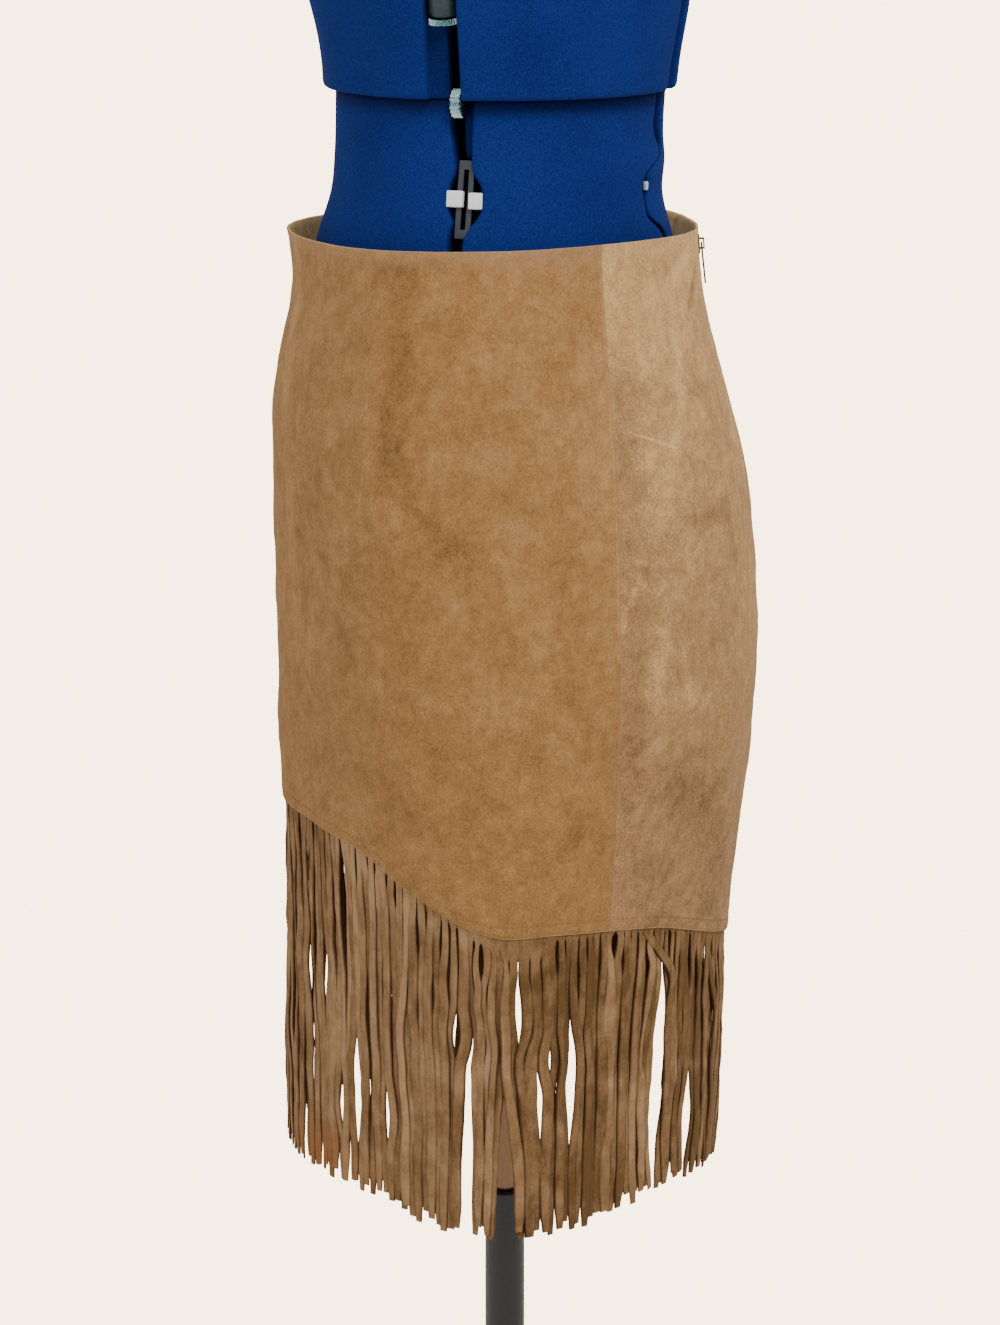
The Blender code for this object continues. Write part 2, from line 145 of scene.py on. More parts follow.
def light_studio():
    world = bpy.data.worlds.new("studio")
    bpy.context.scene.world = world
    world.use_nodes = True
    tree = world.node_tree
    tree.nodes.clear()
    around_all = node(tree, "ShaderNodeBackground", {"Color": (*SKY_COLOUR, 1.0), "Strength": SKY_STRENGTH})
    values = {"Color": (*FLOOR_GLOW, 1.0), "Strength": BACKDROP_STRENGTH}
    behind = node(tree, "ShaderNodeBackground", values)
    seen = node(tree, "ShaderNodeLightPath").outputs["Is Camera Ray"]
    both = node(tree, "ShaderNodeMixShader", {0: seen, 1: around_all.outputs[0], 2: behind.outputs[0]})
    node(tree, "ShaderNodeOutputWorld", {"Surface": both.outputs[0]})
    for sun in SUNS:
        lamp = bpy.data.objects.new(sun.name, bpy.data.lights.new(sun.name, "SUN"))
        lamp.data.energy = sun.strength
        lamp.data.angle = math.radians(sun.softness)
        lamp.data.color = SUN_COLOUR
        turn, rise = math.radians(sun.azimuth), math.radians(sun.height)
        towards = Vector((math.sin(turn) * math.cos(rise), -math.cos(turn) * math.cos(rise), math.sin(rise)))
        lamp.rotation_euler = towards.to_track_quat("Z", "Y").to_euler()
        bpy.context.scene.collection.objects.link(lamp)


place_camera()
lay_floor()
light_studio()

# ---------------------------------------------------------------------------------------------------------
# The skirt's three suede panels: one wide front that wraps to a seam behind each side, and two back panels
# that meet at the centre-back zip. Each is one layer of 1.6 mm suede with cut edges, joined edge to edge, and
# it shows its wear as soft creases, a rubbed nap and a few scratches. Painted into its colour are shade along
# some crease troughs, a sheen beside the side seams and a highlight along the top edge.

WAIST_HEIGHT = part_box("front_panel")[1].z
SUEDE = 0.0016
SEAM_GAP = 0.00004
SEAM_PHASE = 110.5
CLOTH_STEP = 0.0032  # between points on a panel
CUT_ROUND = 0.0007  # width of the rounded border of a cut edge
HEM_PARED = 0.0008  # how much thinner the hem's edge is
HIP = 0.165  # the radius at which a phase is turned into a length round the skirt
PANEL_DEPTH = 0.35  # about how deep a panel is, from the top edge to the hem
BACK_WIDTH = 0.185  # about how wide a back panel is
LIP, LIP_REACH = 0.001, 0.0035  # how far the top edge stands proud, and over what depth
HEM_PARED_REACH = 0.003

# Sections: how far the skirt reaches from the pole's axis at each drop; corner is 2 for an oval and 1 for a
# lens with a crease at each side.
Section = namedtuple("Section", "drop front back side corner")
SKIRT = table_of(
    Section,
    (0.0, 0.1168, 0.1038, 0.149, 2.0),
    (0.032, 0.115, 0.1068, 0.155, 2.0),
    (0.062, 0.1214, 0.1135, 0.161, 2.0),
    (0.095, 0.1256, 0.1222, 0.168, 2.0),
    (0.13, 0.1263, 0.1311, 0.174, 1.95),
    (0.18, 0.1255, 0.1367, 0.18, 1.85),
    (0.225, 0.1247, 0.1383, 0.183, 1.7),
    (0.27, 0.1241, 0.1362, 0.1845, 1.55),
    (0.315, 0.1226, 0.131, 0.1848, 1.38),
    (0.36, 0.1221, 0.1254, 0.1846, 1.25),
    (0.4, 0.1222, 0.1232, 0.1842, 1.18),
    (0.46, 0.1226, 0.1216, 0.1836, 1.1),
    (0.525, 0.123, 0.1178, 0.183, 1.05),
)
Edge = namedtuple("Edge", "phase drop")
WAIST = table_of(
    Edge,
    (0, 0.0),
    (30, 0.001),
    (62, 0.0014),
    (90, -0.0004),
    (112, -0.002),
    (146, -0.0012),
    (180, 0.0),
)
HEM = table_of(
    Edge,
    (0, 0.31),
    (40, 0.3125),
    (60, 0.32),
    (72, 0.335),
    (84, 0.35),
    (100, 0.354),
    (122, 0.361),
    (150, 0.377),
    (180, 0.391),
)

# Broad folds: lean is in degrees for each metre of drop, width in degrees, length and rise in metres.
Fold = namedtuple("Fold", "phase drop lean width length rise")
FOLDS = table_of(
    Fold,
    (102, 0.08, -110, 5.5, 0.05, 0.0026),
    (150, 0.31, 120, 8.0, 0.045, 0.0024),
    (66, 0.13, 60, 7.0, 0.04, 0.0016),
    (20, 0.29, -60, 9.0, 0.05, 0.0018),
    (-98, 0.095, 100, 6.0, 0.045, 0.0022),
    (-146, 0.33, -100, 7.0, 0.05, 0.0026),
    (-40, 0.28, 70, 8.0, 0.04, 0.0016),
)

# Creases that wear has set, each a soft trough (rise below zero) or ridge along a bowed line.
Crease = namedtuple("Crease", "phase drop to_phase to_drop bow width rise")
CREASES = table_of(
    Crease,
    # the wearer's left: two that leave the side-back seam, one across the hip, and small ones near the hem
    (109.2, 0.028, 97.0, 0.112, 0.004, 0.004, -0.0019),
    (105.8, 0.026, 92.8, 0.108, 0.004, 0.0055, 0.0012),
    (65.5, 0.124, 79.0, 0.15, -0.002, 0.0036, -0.0014),
    (67.5, 0.117, 81.0, 0.142, -0.002, 0.0048, 0.001),
    (101.8, 0.234, 105.2, 0.25, 0.001, 0.0042, -0.0011),
    (100.8, 0.258, 110.2, 0.26, 0.0006, 0.0013, -0.0005),
    (98.0, 0.2845, 105.6, 0.283, -0.0005, 0.0013, -0.0005),
    (89.5, 0.321, 101.0, 0.298, 0.0022, 0.0052, 0.0012),
    (92.0, 0.327, 102.5, 0.305, 0.0022, 0.004, -0.0009),
    (36.0, 0.136, 42.0, 0.146, 0.0, 0.0016, -0.0006),
    (56.0, 0.011, 84.0, 0.013, 0.001, 0.0065, -0.0009),
    (44.0, 0.205, 47.0, 0.262, -0.003, 0.0065, -0.0008),
    # the left back panel: a dark fold over the seat, puckers beside the zip, and a pull across the seam
    (136.5, 0.269, 119.0, 0.285, 0.0024, 0.0042, -0.0019),
    (137.0, 0.261, 121.0, 0.276, 0.0022, 0.0052, 0.0011),
    (120.6, 0.281, 119.2, 0.298, 0.0, 0.003, -0.0012),
    (165.0, 0.016, 148.0, 0.031, -0.003, 0.004, -0.0014),
    (148.8, 0.029, 144.8, 0.044, 0.0006, 0.0034, -0.0011),
    (113.0, 0.0925, 127.0, 0.1055, 0.0018, 0.0012, -0.0004),
    (168.0, 0.07, 158.0, 0.083, -0.002, 0.0044, -0.0011),
    (171.0, 0.196, 160.0, 0.188, -0.002, 0.005, -0.0012),
    (128.0, 0.344, 139.0, 0.33, 0.0018, 0.005, -0.001),
    # the right back panel
    (-137.0, 0.253, -117.5, 0.272, -0.0024, 0.0045, -0.0017),
    (-138.0, 0.244, -120.0, 0.263, -0.0024, 0.0055, 0.0011),
    (-166.0, 0.02, -151.0, 0.037, 0.003, 0.0042, -0.0013),
    (-170.0, 0.09, -156.0, 0.108, 0.0024, 0.0045, -0.0012),
    (-172.0, 0.187, -157.0, 0.196, 0.0016, 0.005, -0.0013),
    (-149.0, 0.3, -143.0, 0.352, -0.003, 0.0055, -0.0013),
    (-124.0, 0.14, -119.0, 0.176, 0.002, 0.0035, -0.0008),
    # the wearer's right
    (-108.8, 0.034, -95.0, 0.122, -0.0045, 0.0042, -0.0017),
    (-105.0, 0.032, -91.5, 0.116, -0.0045, 0.0058, 0.0011),
    (-70.0, 0.148, -83.5, 0.172, 0.0024, 0.0038, -0.0013),
    (-71.5, 0.141, -85.0, 0.164, 0.0024, 0.0048, 0.0009),
    (-97.0, 0.246, -106.0, 0.25, -0.0008, 0.0014, -0.0005),
    (-93.0, 0.268, -88.0, 0.292, 0.0016, 0.0045, -0.001),
    (-61.0, 0.288, -73.0, 0.304, 0.002, 0.005, 0.001),
    # the front: a shallow pull from each hip and two short ones above the hem
    (12.0, 0.118, 29.0, 0.132, -0.003, 0.005, -0.0011),
    (-34.0, 0.109, -14.0, 0.124, 0.003, 0.0052, -0.0011),
    (5.0, 0.232, -3.0, 0.274, 0.003, 0.006, -0.0011),
    (-24.0, 0.262, -19.0, 0.3, -0.002, 0.005, 0.0011),
    (24.0, 0.276, 30.0, 0.301, 0.001, 0.004, -0.001),
    (-48.0, 0.19, -40.0, 0.213, 0.002, 0.0035, -0.0009),
)

# A slight waviness: how high, the shortest wave, how many of them, and their seed.
Ripples = namedtuple("Ripples", "height finest waves seed")
SUEDE_RIPPLES = Ripples(0.00035, 0.03, 14, 5), Ripples(0.00012, 0.009, 16, 6)


def eased(rows, at):
    """The columns of a table at places in its first column, on smooth curves through its rows."""
    table = np.array(rows, dtype=float)
    keys = table[:, 0]
    slopes = np.gradient(table, keys, axis=0)
    at = np.asarray(at, dtype=float)
    low = np.clip(np.searchsorted(keys, at) - 1, 0, len(keys) - 2)
    span = (keys[low + 1] - keys[low])[..., None]
    t = (at - keys[low])[..., None] / span
    start, start_slope = table[low], span * slopes[low]
    end, end_slope = table[low + 1], span * slopes[low + 1]
    before = (2 * t**3 - 3 * t**2 + 1) * start + (t**3 - 2 * t**2 + t) * start_slope
    after = (3 * t**2 - 2 * t**3) * end + (t**3 - t**2) * end_slope
    return np.moveaxis(before + after, -1, 0)


def reach(sections, phase, drop):
    """How far a body reaches from the axis at phases and drops."""
    _, front, back, side, corner = eased(sections, drop)
    turn = np.radians(phase)
    across = np.abs(np.sin(turn)) / side
    along = np.abs(np.cos(turn)) / np.where(np.cos(turn) > 0, front, back)
    inside = np.zeros(np.broadcast(across, along).shape)
    outside = inside + 0.6  # metres, well past every section
    for _ in range(40):  # halves the doubt each time
        middle = (inside + outside) / 2
        over = (middle * across) ** 2 + (middle * along) ** corner > 1
        outside = np.where(over, middle, outside)
        inside = np.where(over, inside, middle)
    return inside


def around(radius, phase, drop):
    """Points at radii and phases, at drops below the skirt's top edge."""
    turn = np.radians(phase)
    return np.stack([radius * np.sin(turn), -radius * np.cos(turn), WAIST_HEIGHT - drop], axis=-1)


def turned_by(phase, other):
    """The signed difference of phases, in degrees."""
    return (phase - other + 180) % 360 - 180


def crease_lift(crease, phase, drop):
    """How far one crease moves the cloth: along a bowed line, fading towards both ends."""
    x = np.radians(turned_by(phase, crease.phase)) * HIP
    y = drop - crease.drop
    round_it = math.radians(turned_by(crease.to_phase, crease.phase)) * HIP
    end = np.array([round_it, crease.to_drop - crease.drop])
    length = float(np.hypot(*end))
    along = (x * end[0] + y * end[1]) / length**2
    across = (y * end[0] - x * end[1]) / length - 4 * crease.bow * along * (1 - along)
    past = np.maximum(0, np.abs(along - 0.5) - 0.5) * length / (1.5 * crease.width)
    fade = np.clip(4 * along * (1 - along), 0.0, 1.0) ** 0.5
    return crease.rise * fade * np.exp(-((across / crease.width) ** 2) - past**2)


def ripple(phase, drop, ripples):
    """An even, unrepeating waviness about 0, from random waves."""
    chance = np.random.default_rng(ripples.seed)
    total = np.zeros(np.broadcast(phase, drop).shape)
    for _ in range(ripples.waves):
        heading = chance.uniform(0, 2 * math.pi)
        length = ripples.finest * chance.uniform(1.0, 3.0)
        forward = np.radians(phase) * HIP * math.cos(heading) + drop * math.sin(heading)
        total += np.sin(forward * 2 * math.pi / length + chance.uniform(0, 6.3))
    return ripples.height * (total / math.sqrt(ripples.waves))


def skirt_radius(phase, drop):
    """The radius of the skirt's outer face, with its folds, its creases and a slight waviness."""
    radius = reach(SKIRT, phase, drop)
    for fold in FOLDS:
        beside = turned_by(phase, fold.phase + fold.lean * (drop - fold.drop)) / fold.width
        radius = radius + fold.rise * np.exp(-(beside**2) - ((drop - fold.drop) / fold.length) ** 2)
    for crease in CREASES:
        radius = radius + crease_lift(crease, phase, drop)
    for ripples in SUEDE_RIPPLES:
        radius = radius + ripple(phase, drop, ripples)
    return radius


def skirt_point(phase, drop):
    return around(skirt_radius(phase, drop), phase, drop)


def skirt_out(phase, drop):
    """The outward normals of the skirt's outer face."""
    round_it = skirt_point(phase + 0.4, drop) - skirt_point(phase - 0.4, drop)
    down_it = skirt_point(phase, drop + 0.0012) - skirt_point(phase, drop - 0.0012)
    out = np.cross(down_it, round_it)
    return out / np.linalg.norm(out, axis=-1, keepdims=True)


def waist_drop(phase):
    """How far the top edge itself dips or rises round the waist."""
    return eased(WAIST, np.abs(turned_by(phase, 0)))[1]


def hem_drop(phase):
    return eased(HEM, np.abs(turned_by(phase, 0)))[1]


def spread(start, end, step, border):
    """Places from start to end, about a step apart, with one more a border's width from each end."""
    count = max(2, round(abs(end - start) / step))
    middle = np.linspace(start, end, count + 1)
    way = math.copysign(border, end - start)
    return np.array([start, start + way, *middle[1:-1], end - way, end])


def grid_faces(columns, rows, first=0):
    """The quads of a grid of points kept column by column, its columns in the order of their phase."""
    corner = first + np.arange(columns - 1)[:, None] * rows + np.arange(rows - 1)[None, :]
    return np.stack([corner, corner + 1, corner + rows + 1, corner + rows], axis=-1).reshape(-1, 4)


def add_piece(name, mesh, material, body="stand_and_skirt", replaces=()):
    """A finished mesh as a piece: its object at the origin, its material, body, slot and CAD nodes."""
    mesh.materials.clear()
    mesh.materials.append(material)
    piece = bpy.data.objects.new(name, mesh)
    bpy.context.scene.collection.objects.link(piece)
    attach(piece, body)
    if replaces:
        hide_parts(*replaces)
    return piece


def keep_field(mesh, name, values):
    """Stores a number, or a direction where there are three, for each point of a mesh."""
    three = np.size(values) == 3 * len(mesh.vertices)
    kind, part = ("FLOAT_VECTOR", "vector") if three else ("FLOAT", "value")
    mesh.attributes.new(name, kind, "POINT").data.foreach_set(part, np.ravel(values).astype(np.float32))


CUT_STEP = 0.3  # how far in each face steps at a rounded cut edge, as a share of the wall


def cloth_wall(name, phase, drop, outer, out, thickness, pared=0.0, foot=1.0):
    """A closed sheet from grids of outer points and outward directions, with softly rounded cut edges.

    The attribute inside is 1 on its inner face, cut_edge is 1 on its borders, and the map pattern holds the
    length round the skirt and the drop, in metres.
    """
    columns, rows = phase.shape
    border = np.ones((columns, rows))
    border[1:-1, 1:-1] = 0.0
    border[1:-1, -1] = foot
    near = outer - out * (border * CUT_STEP * thickness)[..., None]
    far = outer - out * (thickness - pared - border * CUT_STEP * thickness)[..., None]
    count = columns * rows
    front = grid_faces(columns, rows)
    back = grid_faces(columns, rows, count)[:, ::-1]
    index = np.arange(count).reshape(columns, rows)
    rim = np.concatenate([index[:, 0][::-1], index[0, 1:], index[1:, -1], index[-1, ::-1][1:-1]])
    rim_next = np.roll(rim, -1)
    wall = np.stack([rim, rim_next, rim_next + count, rim + count], axis=-1)[:, ::-1]
    points = np.concatenate([near.reshape(-1, 3), far.reshape(-1, 3)])
    mesh = bpy.data.meshes.new(name)
    mesh.from_pydata(points.tolist(), [], np.concatenate([front, back, wall]).tolist())
    mesh.shade_smooth()
    keep_field(mesh, "inside", np.repeat([0.0, 1.0], count))
    keep_field(mesh, "cut_edge", np.tile(border.ravel(), 2))
    pattern = mesh.uv_layers.new(name="pattern")
    loops = np.zeros(len(mesh.loops), dtype=np.int32)
    mesh.loops.foreach_get("vertex_index", loops)
    flat = np.tile(np.stack([np.radians(phase) * HIP, drop], axis=-1).reshape(-1, 2), (2, 1))
    pattern.uv.foreach_set("vector", flat[loops].astype(np.float32).ravel())
    return mesh


def group_tree(name, inputs, outputs):
    """A shader node group with float inputs and their values, vectors where the value is a triple."""
    tree = bpy.data.node_groups.new(name, "ShaderNodeTree")
    for socket, value in inputs.items():
        kind = "NodeSocketVector" if isinstance(value, tuple) else "NodeSocketFloat"
        tree.interface.new_socket(socket, in_out="INPUT", socket_type=kind).default_value = value
    for socket, kind in outputs.items():
        tree.interface.new_socket(socket, in_out="OUTPUT", socket_type=kind)
    return tree, node(tree, "NodeGroupInput").outputs


def math_of(tree, operation, first, second=0.0, third=0.0):
    return node(tree, "ShaderNodeMath", {0: first, 1: second, 2: third}, operation=operation).outputs[0]


def times(tree, first, second):
    return math_of(tree, "MULTIPLY", first, second)


def vector_of(tree, operation, first, second):
    """A vector worked out from two, or from one and its scale, or the number that two give."""
    other = "Scale" if operation == "SCALE" else 1
    made = node(tree, "ShaderNodeVectorMath", {0: first, other: second}, operation=operation)
    return made.outputs["Value" if operation in ("DOT_PRODUCT", "DISTANCE") else "Vector"]


def noise_of(tree, place, scale, detail, roughness=0.5, warp=0.0, output="Fac"):
    values = {"Vector": place, "Scale": scale, "Detail": detail, "Roughness": roughness, "Distortion": warp}
    return node(tree, "ShaderNodeTexNoise", values).outputs[output]


def mapped(tree, value, from_low, from_high, to_low=0.0, to_high=1.0, ease="LINEAR"):
    values = {
        "Value": value,
        "From Min": from_low,
        "From Max": from_high,
        "To Min": to_low,
        "To Max": to_high,
    }
    return node(tree, "ShaderNodeMapRange", values, interpolation_type=ease).outputs[0]


def bump_of(tree, height, strength, distance, **under):
    """A normal from a height in metres of distance, over another normal if one is given."""
    values = {"Height": height, "Strength": strength, "Distance": distance, **under}
    return node(tree, "ShaderNodeBump", values).outputs[0]


def object_place(tree):
    return node(tree, "ShaderNodeTexCoord").outputs["Object"]


def pattern_place(tree):
    return node(tree, "ShaderNodeUVMap", uv_map="pattern").outputs[0]


def nap_group():
    """Suede nap: a tone about a half and a height, from brushed patches, mottles, streaks and fine fibre."""
    sizes = {"Patches": 0.5, "Mottles": 0.5, "Streaks": 0.3, "Fibre": 0.3}
    tree, given = group_tree("suede_nap", sizes, {"Tone": "NodeSocketFloat", "Height": "NodeSocketFloat"})
    place = object_place(tree)
    upright = node(tree, "ShaderNodeMapping", {"Vector": place, "Scale": (1.0, 1.0, 0.3)}).outputs[0]
    layers = {
        "Patches": noise_of(tree, place, 24.0, 3.0, 0.55, 0.8),
        "Mottles": noise_of(tree, place, 150.0, 4.0, 0.62, 0.3),
        "Streaks": noise_of(tree, upright, 190.0, 3.0, 0.55, 0.4),
        "Fibre": noise_of(tree, place, 760.0, 3.0, 0.7),
    }
    tone = 0.5
    for layer, field in layers.items():
        tone = math_of(tree, "MULTIPLY_ADD", math_of(tree, "SUBTRACT", field, 0.5), given[layer], tone)
    fine = times(tree, layers["Fibre"], 0.4)
    height = math_of(tree, "MULTIPLY_ADD", layers["Mottles"], 0.6, fine)
    node(tree, "NodeGroupOutput", {"Tone": tone, "Height": height})
    return tree


def wear_shade_and_sheen_group():
    """A ragged, broken mask of a line between two places on the pattern map, for wear, stains, painted shade
    and sheen.
    """
    inputs = {"From": (0.0, 0.0, 0.0), "To": (0.1, 0.0, 0.0), "Width": 0.003, "Ragged": 0.003, "Broken": 0.5}
    tree, given = group_tree("rubbed_line", inputs, {"Mask": "NodeSocketFloat"})
    flat = pattern_place(tree)
    shift = vector_of(tree, "SUBTRACT", noise_of(tree, flat, 90.0, 4.0, output="Color"), (0.5, 0.5, 0.5))
    where = vector_of(tree, "ADD", flat, vector_of(tree, "SCALE", shift, given["Ragged"]))
    start = vector_of(tree, "SUBTRACT", where, given["From"])
    line = vector_of(tree, "SUBTRACT", given["To"], given["From"])
    along = vector_of(tree, "DOT_PRODUCT", start, line)
    whole = vector_of(tree, "DOT_PRODUCT", line, line)
    share = node(tree, "ShaderNodeClamp", {"Value": math_of(tree, "DIVIDE", along, whole)}).outputs[0]
    away = vector_of(tree, "DISTANCE", start, vector_of(tree, "SCALE", line, share))
    near = mapped(tree, math_of(tree, "DIVIDE", away, given["Width"]), 1.0, 0.1, ease="SMOOTHSTEP")
    patchy = math_of(tree, "MULTIPLY_ADD", noise_of(tree, flat, 260.0, 3.0), 4.0, -1.3)
    gaps = times(tree, patchy, given["Broken"])
    kept = math_of(tree, "ADD", gaps, math_of(tree, "SUBTRACT", 1.0, given["Broken"]))
    mask = times(tree, near, math_of(tree, "MAXIMUM", kept, 0.0))
    node(tree, "NodeGroupOutput", {"Mask": mask})
    return tree


NAP = nap_group()
WEAR_SHADE_AND_SHEEN_MASK = wear_shade_and_sheen_group()

# Lines of wear and stain, painted shade in crease troughs and painted sheen beside the seams: tone is how
# much the nap is lightened, or darkened below zero.
WearShadeAndSheen = namedtuple("WearShadeAndSheen", "phase drop to_phase to_drop width ragged broken tone")
FRONT_WEAR_SHADE_AND_SHEEN = table_of(
    WearShadeAndSheen,
    # this pale line on the seam is partly a painted highlight on its ridge, and the next three are painted
    # sheen beside the side seams
    (110.3, 0.0, 110.3, 0.21, 0.0024, 0.001, 0.5, 0.44),
    (109.0, 0.074, 108.6, 0.14, 0.0075, 0.004, 0.2, 0.24),
    (106.0, 0.04, 105.0, 0.15, 0.014, 0.008, 0.1, 0.16),
    (-105.0, 0.04, -103.0, 0.18, 0.018, 0.01, 0.1, 0.16),
    (48.0, 0.16, 58.0, 0.171, 0.005, 0.012, 0.8, -0.22),
    (100.8, 0.16, 101.2, 0.225, 0.013, 0.012, 0.2, -0.16),
    (69.0, 0.02, 68.0, 0.115, 0.015, 0.012, 0.2, -0.24),
    # painted shade in the trough of the hip crease
    (70.0, 0.105, 79.0, 0.145, 0.02, 0.015, 0.2, -0.26),
    (59.0, 0.052, 80.0, 0.04, 0.016, 0.012, 0.2, -0.2),
    (80.5, 0.118, 90.0, 0.122, 0.014, 0.012, 0.3, -0.16),
    (84.0, 0.15, 90.5, 0.212, 0.018, 0.014, 0.2, -0.18),
    (66.0, 0.24, 82.0, 0.238, 0.012, 0.01, 0.3, -0.14),
    (20.0, 0.008, 26.0, 0.08, 0.02, 0.012, 0.1, 0.34),
    (32.0, 0.13, 36.0, 0.21, 0.016, 0.012, 0.1, 0.18),
    (52.0, 0.1, 54.0, 0.18, 0.014, 0.012, 0.2, 0.14),
    (68.0, 0.285, 72.0, 0.296, 0.013, 0.01, 0.3, -0.22),
    (56.0, 0.198, 58.0, 0.212, 0.011, 0.008, 0.3, -0.2),
    # this and the next two darken the troughs of creases: painted shade
    (100.0, 0.285, 102.5, 0.297, 0.012, 0.008, 0.3, -0.24),
    (103.0, 0.236, 104.5, 0.248, 0.006, 0.006, 0.4, -0.2),
    (62.0, 0.012, 78.0, 0.01, 0.007, 0.008, 0.5, -0.2),
    (78.0, 0.245, 90.0, 0.215, 0.016, 0.02, 0.5, 0.1),
    (-30.0, 0.15, -44.0, 0.162, 0.006, 0.012, 0.7, -0.22),
    (-70.0, 0.03, -68.0, 0.11, 0.014, 0.012, 0.2, -0.14),
    (-96.0, 0.18, -93.0, 0.196, 0.009, 0.008, 0.4, 0.18),
)
LEFT_BACK_WEAR_SHADE_AND_SHEEN = table_of(
    WearShadeAndSheen,
    (114.5, 0.094, 127.0, 0.1055, 0.0011, 0.0012, 0.5, 0.35),
    # this and the next are a painted sheen
    (134.5, 0.05, 129.0, 0.096, 0.0085, 0.005, 0.2, 0.16),
    (127.0, 0.1, 120.8, 0.142, 0.008, 0.005, 0.2, 0.18),
    (113.0, 0.06, 113.5, 0.27, 0.019, 0.006, 0.0, -0.2),
    (114.3, 0.16, 116.0, 0.161, 0.0026, 0.003, 0.5, 0.34),
    (111.2, 0.183, 111.0, 0.195, 0.0034, 0.003, 0.6, 0.34),
    (114.6, 0.168, 113.0, 0.181, 0.0034, 0.0034, 0.6, 0.3),
    (125.8, 0.21, 129.0, 0.238, 0.008, 0.006, 0.4, 0.16),
    (131.5, 0.144, 145.5, 0.142, 0.01, 0.008, 0.3, -0.26),
    (145.5, 0.15, 148.0, 0.172, 0.008, 0.006, 0.3, -0.2),
    (116.8, 0.168, 125.5, 0.168, 0.007, 0.005, 0.3, -0.24),
    # painted shade in the trough of the fold over the seat
    (119.8, 0.287, 127.5, 0.28, 0.0085, 0.006, 0.2, -0.2),
    (112.0, 0.286, 113.5, 0.29, 0.005, 0.004, 0.3, -0.24),
    (135.5, 0.205, 137.0, 0.214, 0.007, 0.006, 0.4, -0.18),
    # painted shade in the pucker beside the zip
    (161.0, 0.02, 147.5, 0.036, 0.0065, 0.005, 0.3, -0.34),
    (132.2, 0.015, 135.0, 0.017, 0.005, 0.005, 0.4, -0.18),
    (131.0, 0.285, 150.0, 0.35, 0.03, 0.02, 0.2, -0.2),
    (116.0, 0.11, 119.0, 0.108, 0.008, 0.006, 0.3, 0.26),
    (118.0, 0.235, 121.0, 0.2, 0.01, 0.008, 0.3, 0.22),
    (117.5, 0.265, 120.5, 0.26, 0.009, 0.006, 0.3, 0.2),
    (138.0, 0.02, 150.0, 0.008, 0.01, 0.008, 0.3, 0.22),
)
RIGHT_BACK_WEAR_SHADE_AND_SHEEN = table_of(
    WearShadeAndSheen,
    (-115.0, 0.118, -125.0, 0.128, 0.0011, 0.0012, 0.5, 0.35),
    # a painted sheen
    (-133.0, 0.06, -122.0, 0.142, 0.0085, 0.005, 0.2, 0.24),
    (-113.0, 0.06, -113.5, 0.27, 0.019, 0.006, 0.0, -0.24),
    (-111.2, 0.15, -111.0, 0.166, 0.0022, 0.002, 0.5, 0.5),
    (-140.0, 0.15, -146.0, 0.16, 0.009, 0.007, 0.3, -0.24),
    (-150.0, 0.225, -155.0, 0.262, 0.007, 0.006, 0.5, 0.16),
    # this and the next darken the troughs of creases: painted shade
    (-160.0, 0.024, -149.0, 0.038, 0.006, 0.005, 0.3, -0.3),
    (-120.0, 0.276, -128.0, 0.268, 0.007, 0.005, 0.3, -0.26),
    (-131.0, 0.285, -150.0, 0.35, 0.03, 0.02, 0.2, -0.2),
)


def mixed(tree, share, first, second, blend="MIX"):
    """Two colours mixed; each is a socket or an RGB triple."""
    made = node(tree, "ShaderNodeMix", {"Factor": share}, data_type="RGBA", blend_type=blend)
    for number, colour in ((6, first), (7, second)):
        if isinstance(colour, bpy.types.NodeSocket):
            tree.links.new(colour, made.inputs[number])
        else:
            made.inputs[number].default_value = (*colour, 1.0)
    return made.outputs[2]


def attribute(tree, name):
    return node(tree, "ShaderNodeAttribute", attribute_name=name).outputs["Fac"]


def nap_of(tree, amounts):
    """The nap in a material, with the amounts of its layers: its tone and its height."""
    fibre = node(tree, "ShaderNodeGroup", amounts, node_tree=NAP)
    return fibre.outputs["Tone"], fibre.outputs["Height"]


def principled(material, values):
    """A material finished with one Principled surface."""
    surface_of(material, node(material.node_tree, "ShaderNodeBsdfPrincipled", values))
    return material


def ramp(tree, value, stops):
    """A colour from a value, through stops of (place, RGB)."""
    made = node(tree, "ShaderNodeValToRGB", {"Fac": value})
    band = made.color_ramp
    while len(band.elements) < len(stops):
        band.elements.new(0.5)
    for element, (place, colour) in zip(band.elements, stops):
        element.position = place
        element.color = (*colour, 1.0)
    return made.outputs["Color"]


SUEDE_SURFACE = {"Roughness": 0.95, "Specular IOR Level": 0.08, "Sheen Roughness": 0.55}

# A painted glow on the reverse near the top edge, standing in for light inside the waist: its colour, its
# strength at the edge and how far down it is seen.
PAINTED_GLOW_COLOUR = (1.0, 0.66, 0.36)
PAINTED_GLOW = 0.13
PAINTED_GLOW_REACH = 0.06
FADE_REACH = 0.37  # how far down the tone added at the top edge has turned into that at the hem
# how far down the painted highlight along the top edge reaches
TOP_EDGE_HIGHLIGHT_REACH = 0.013


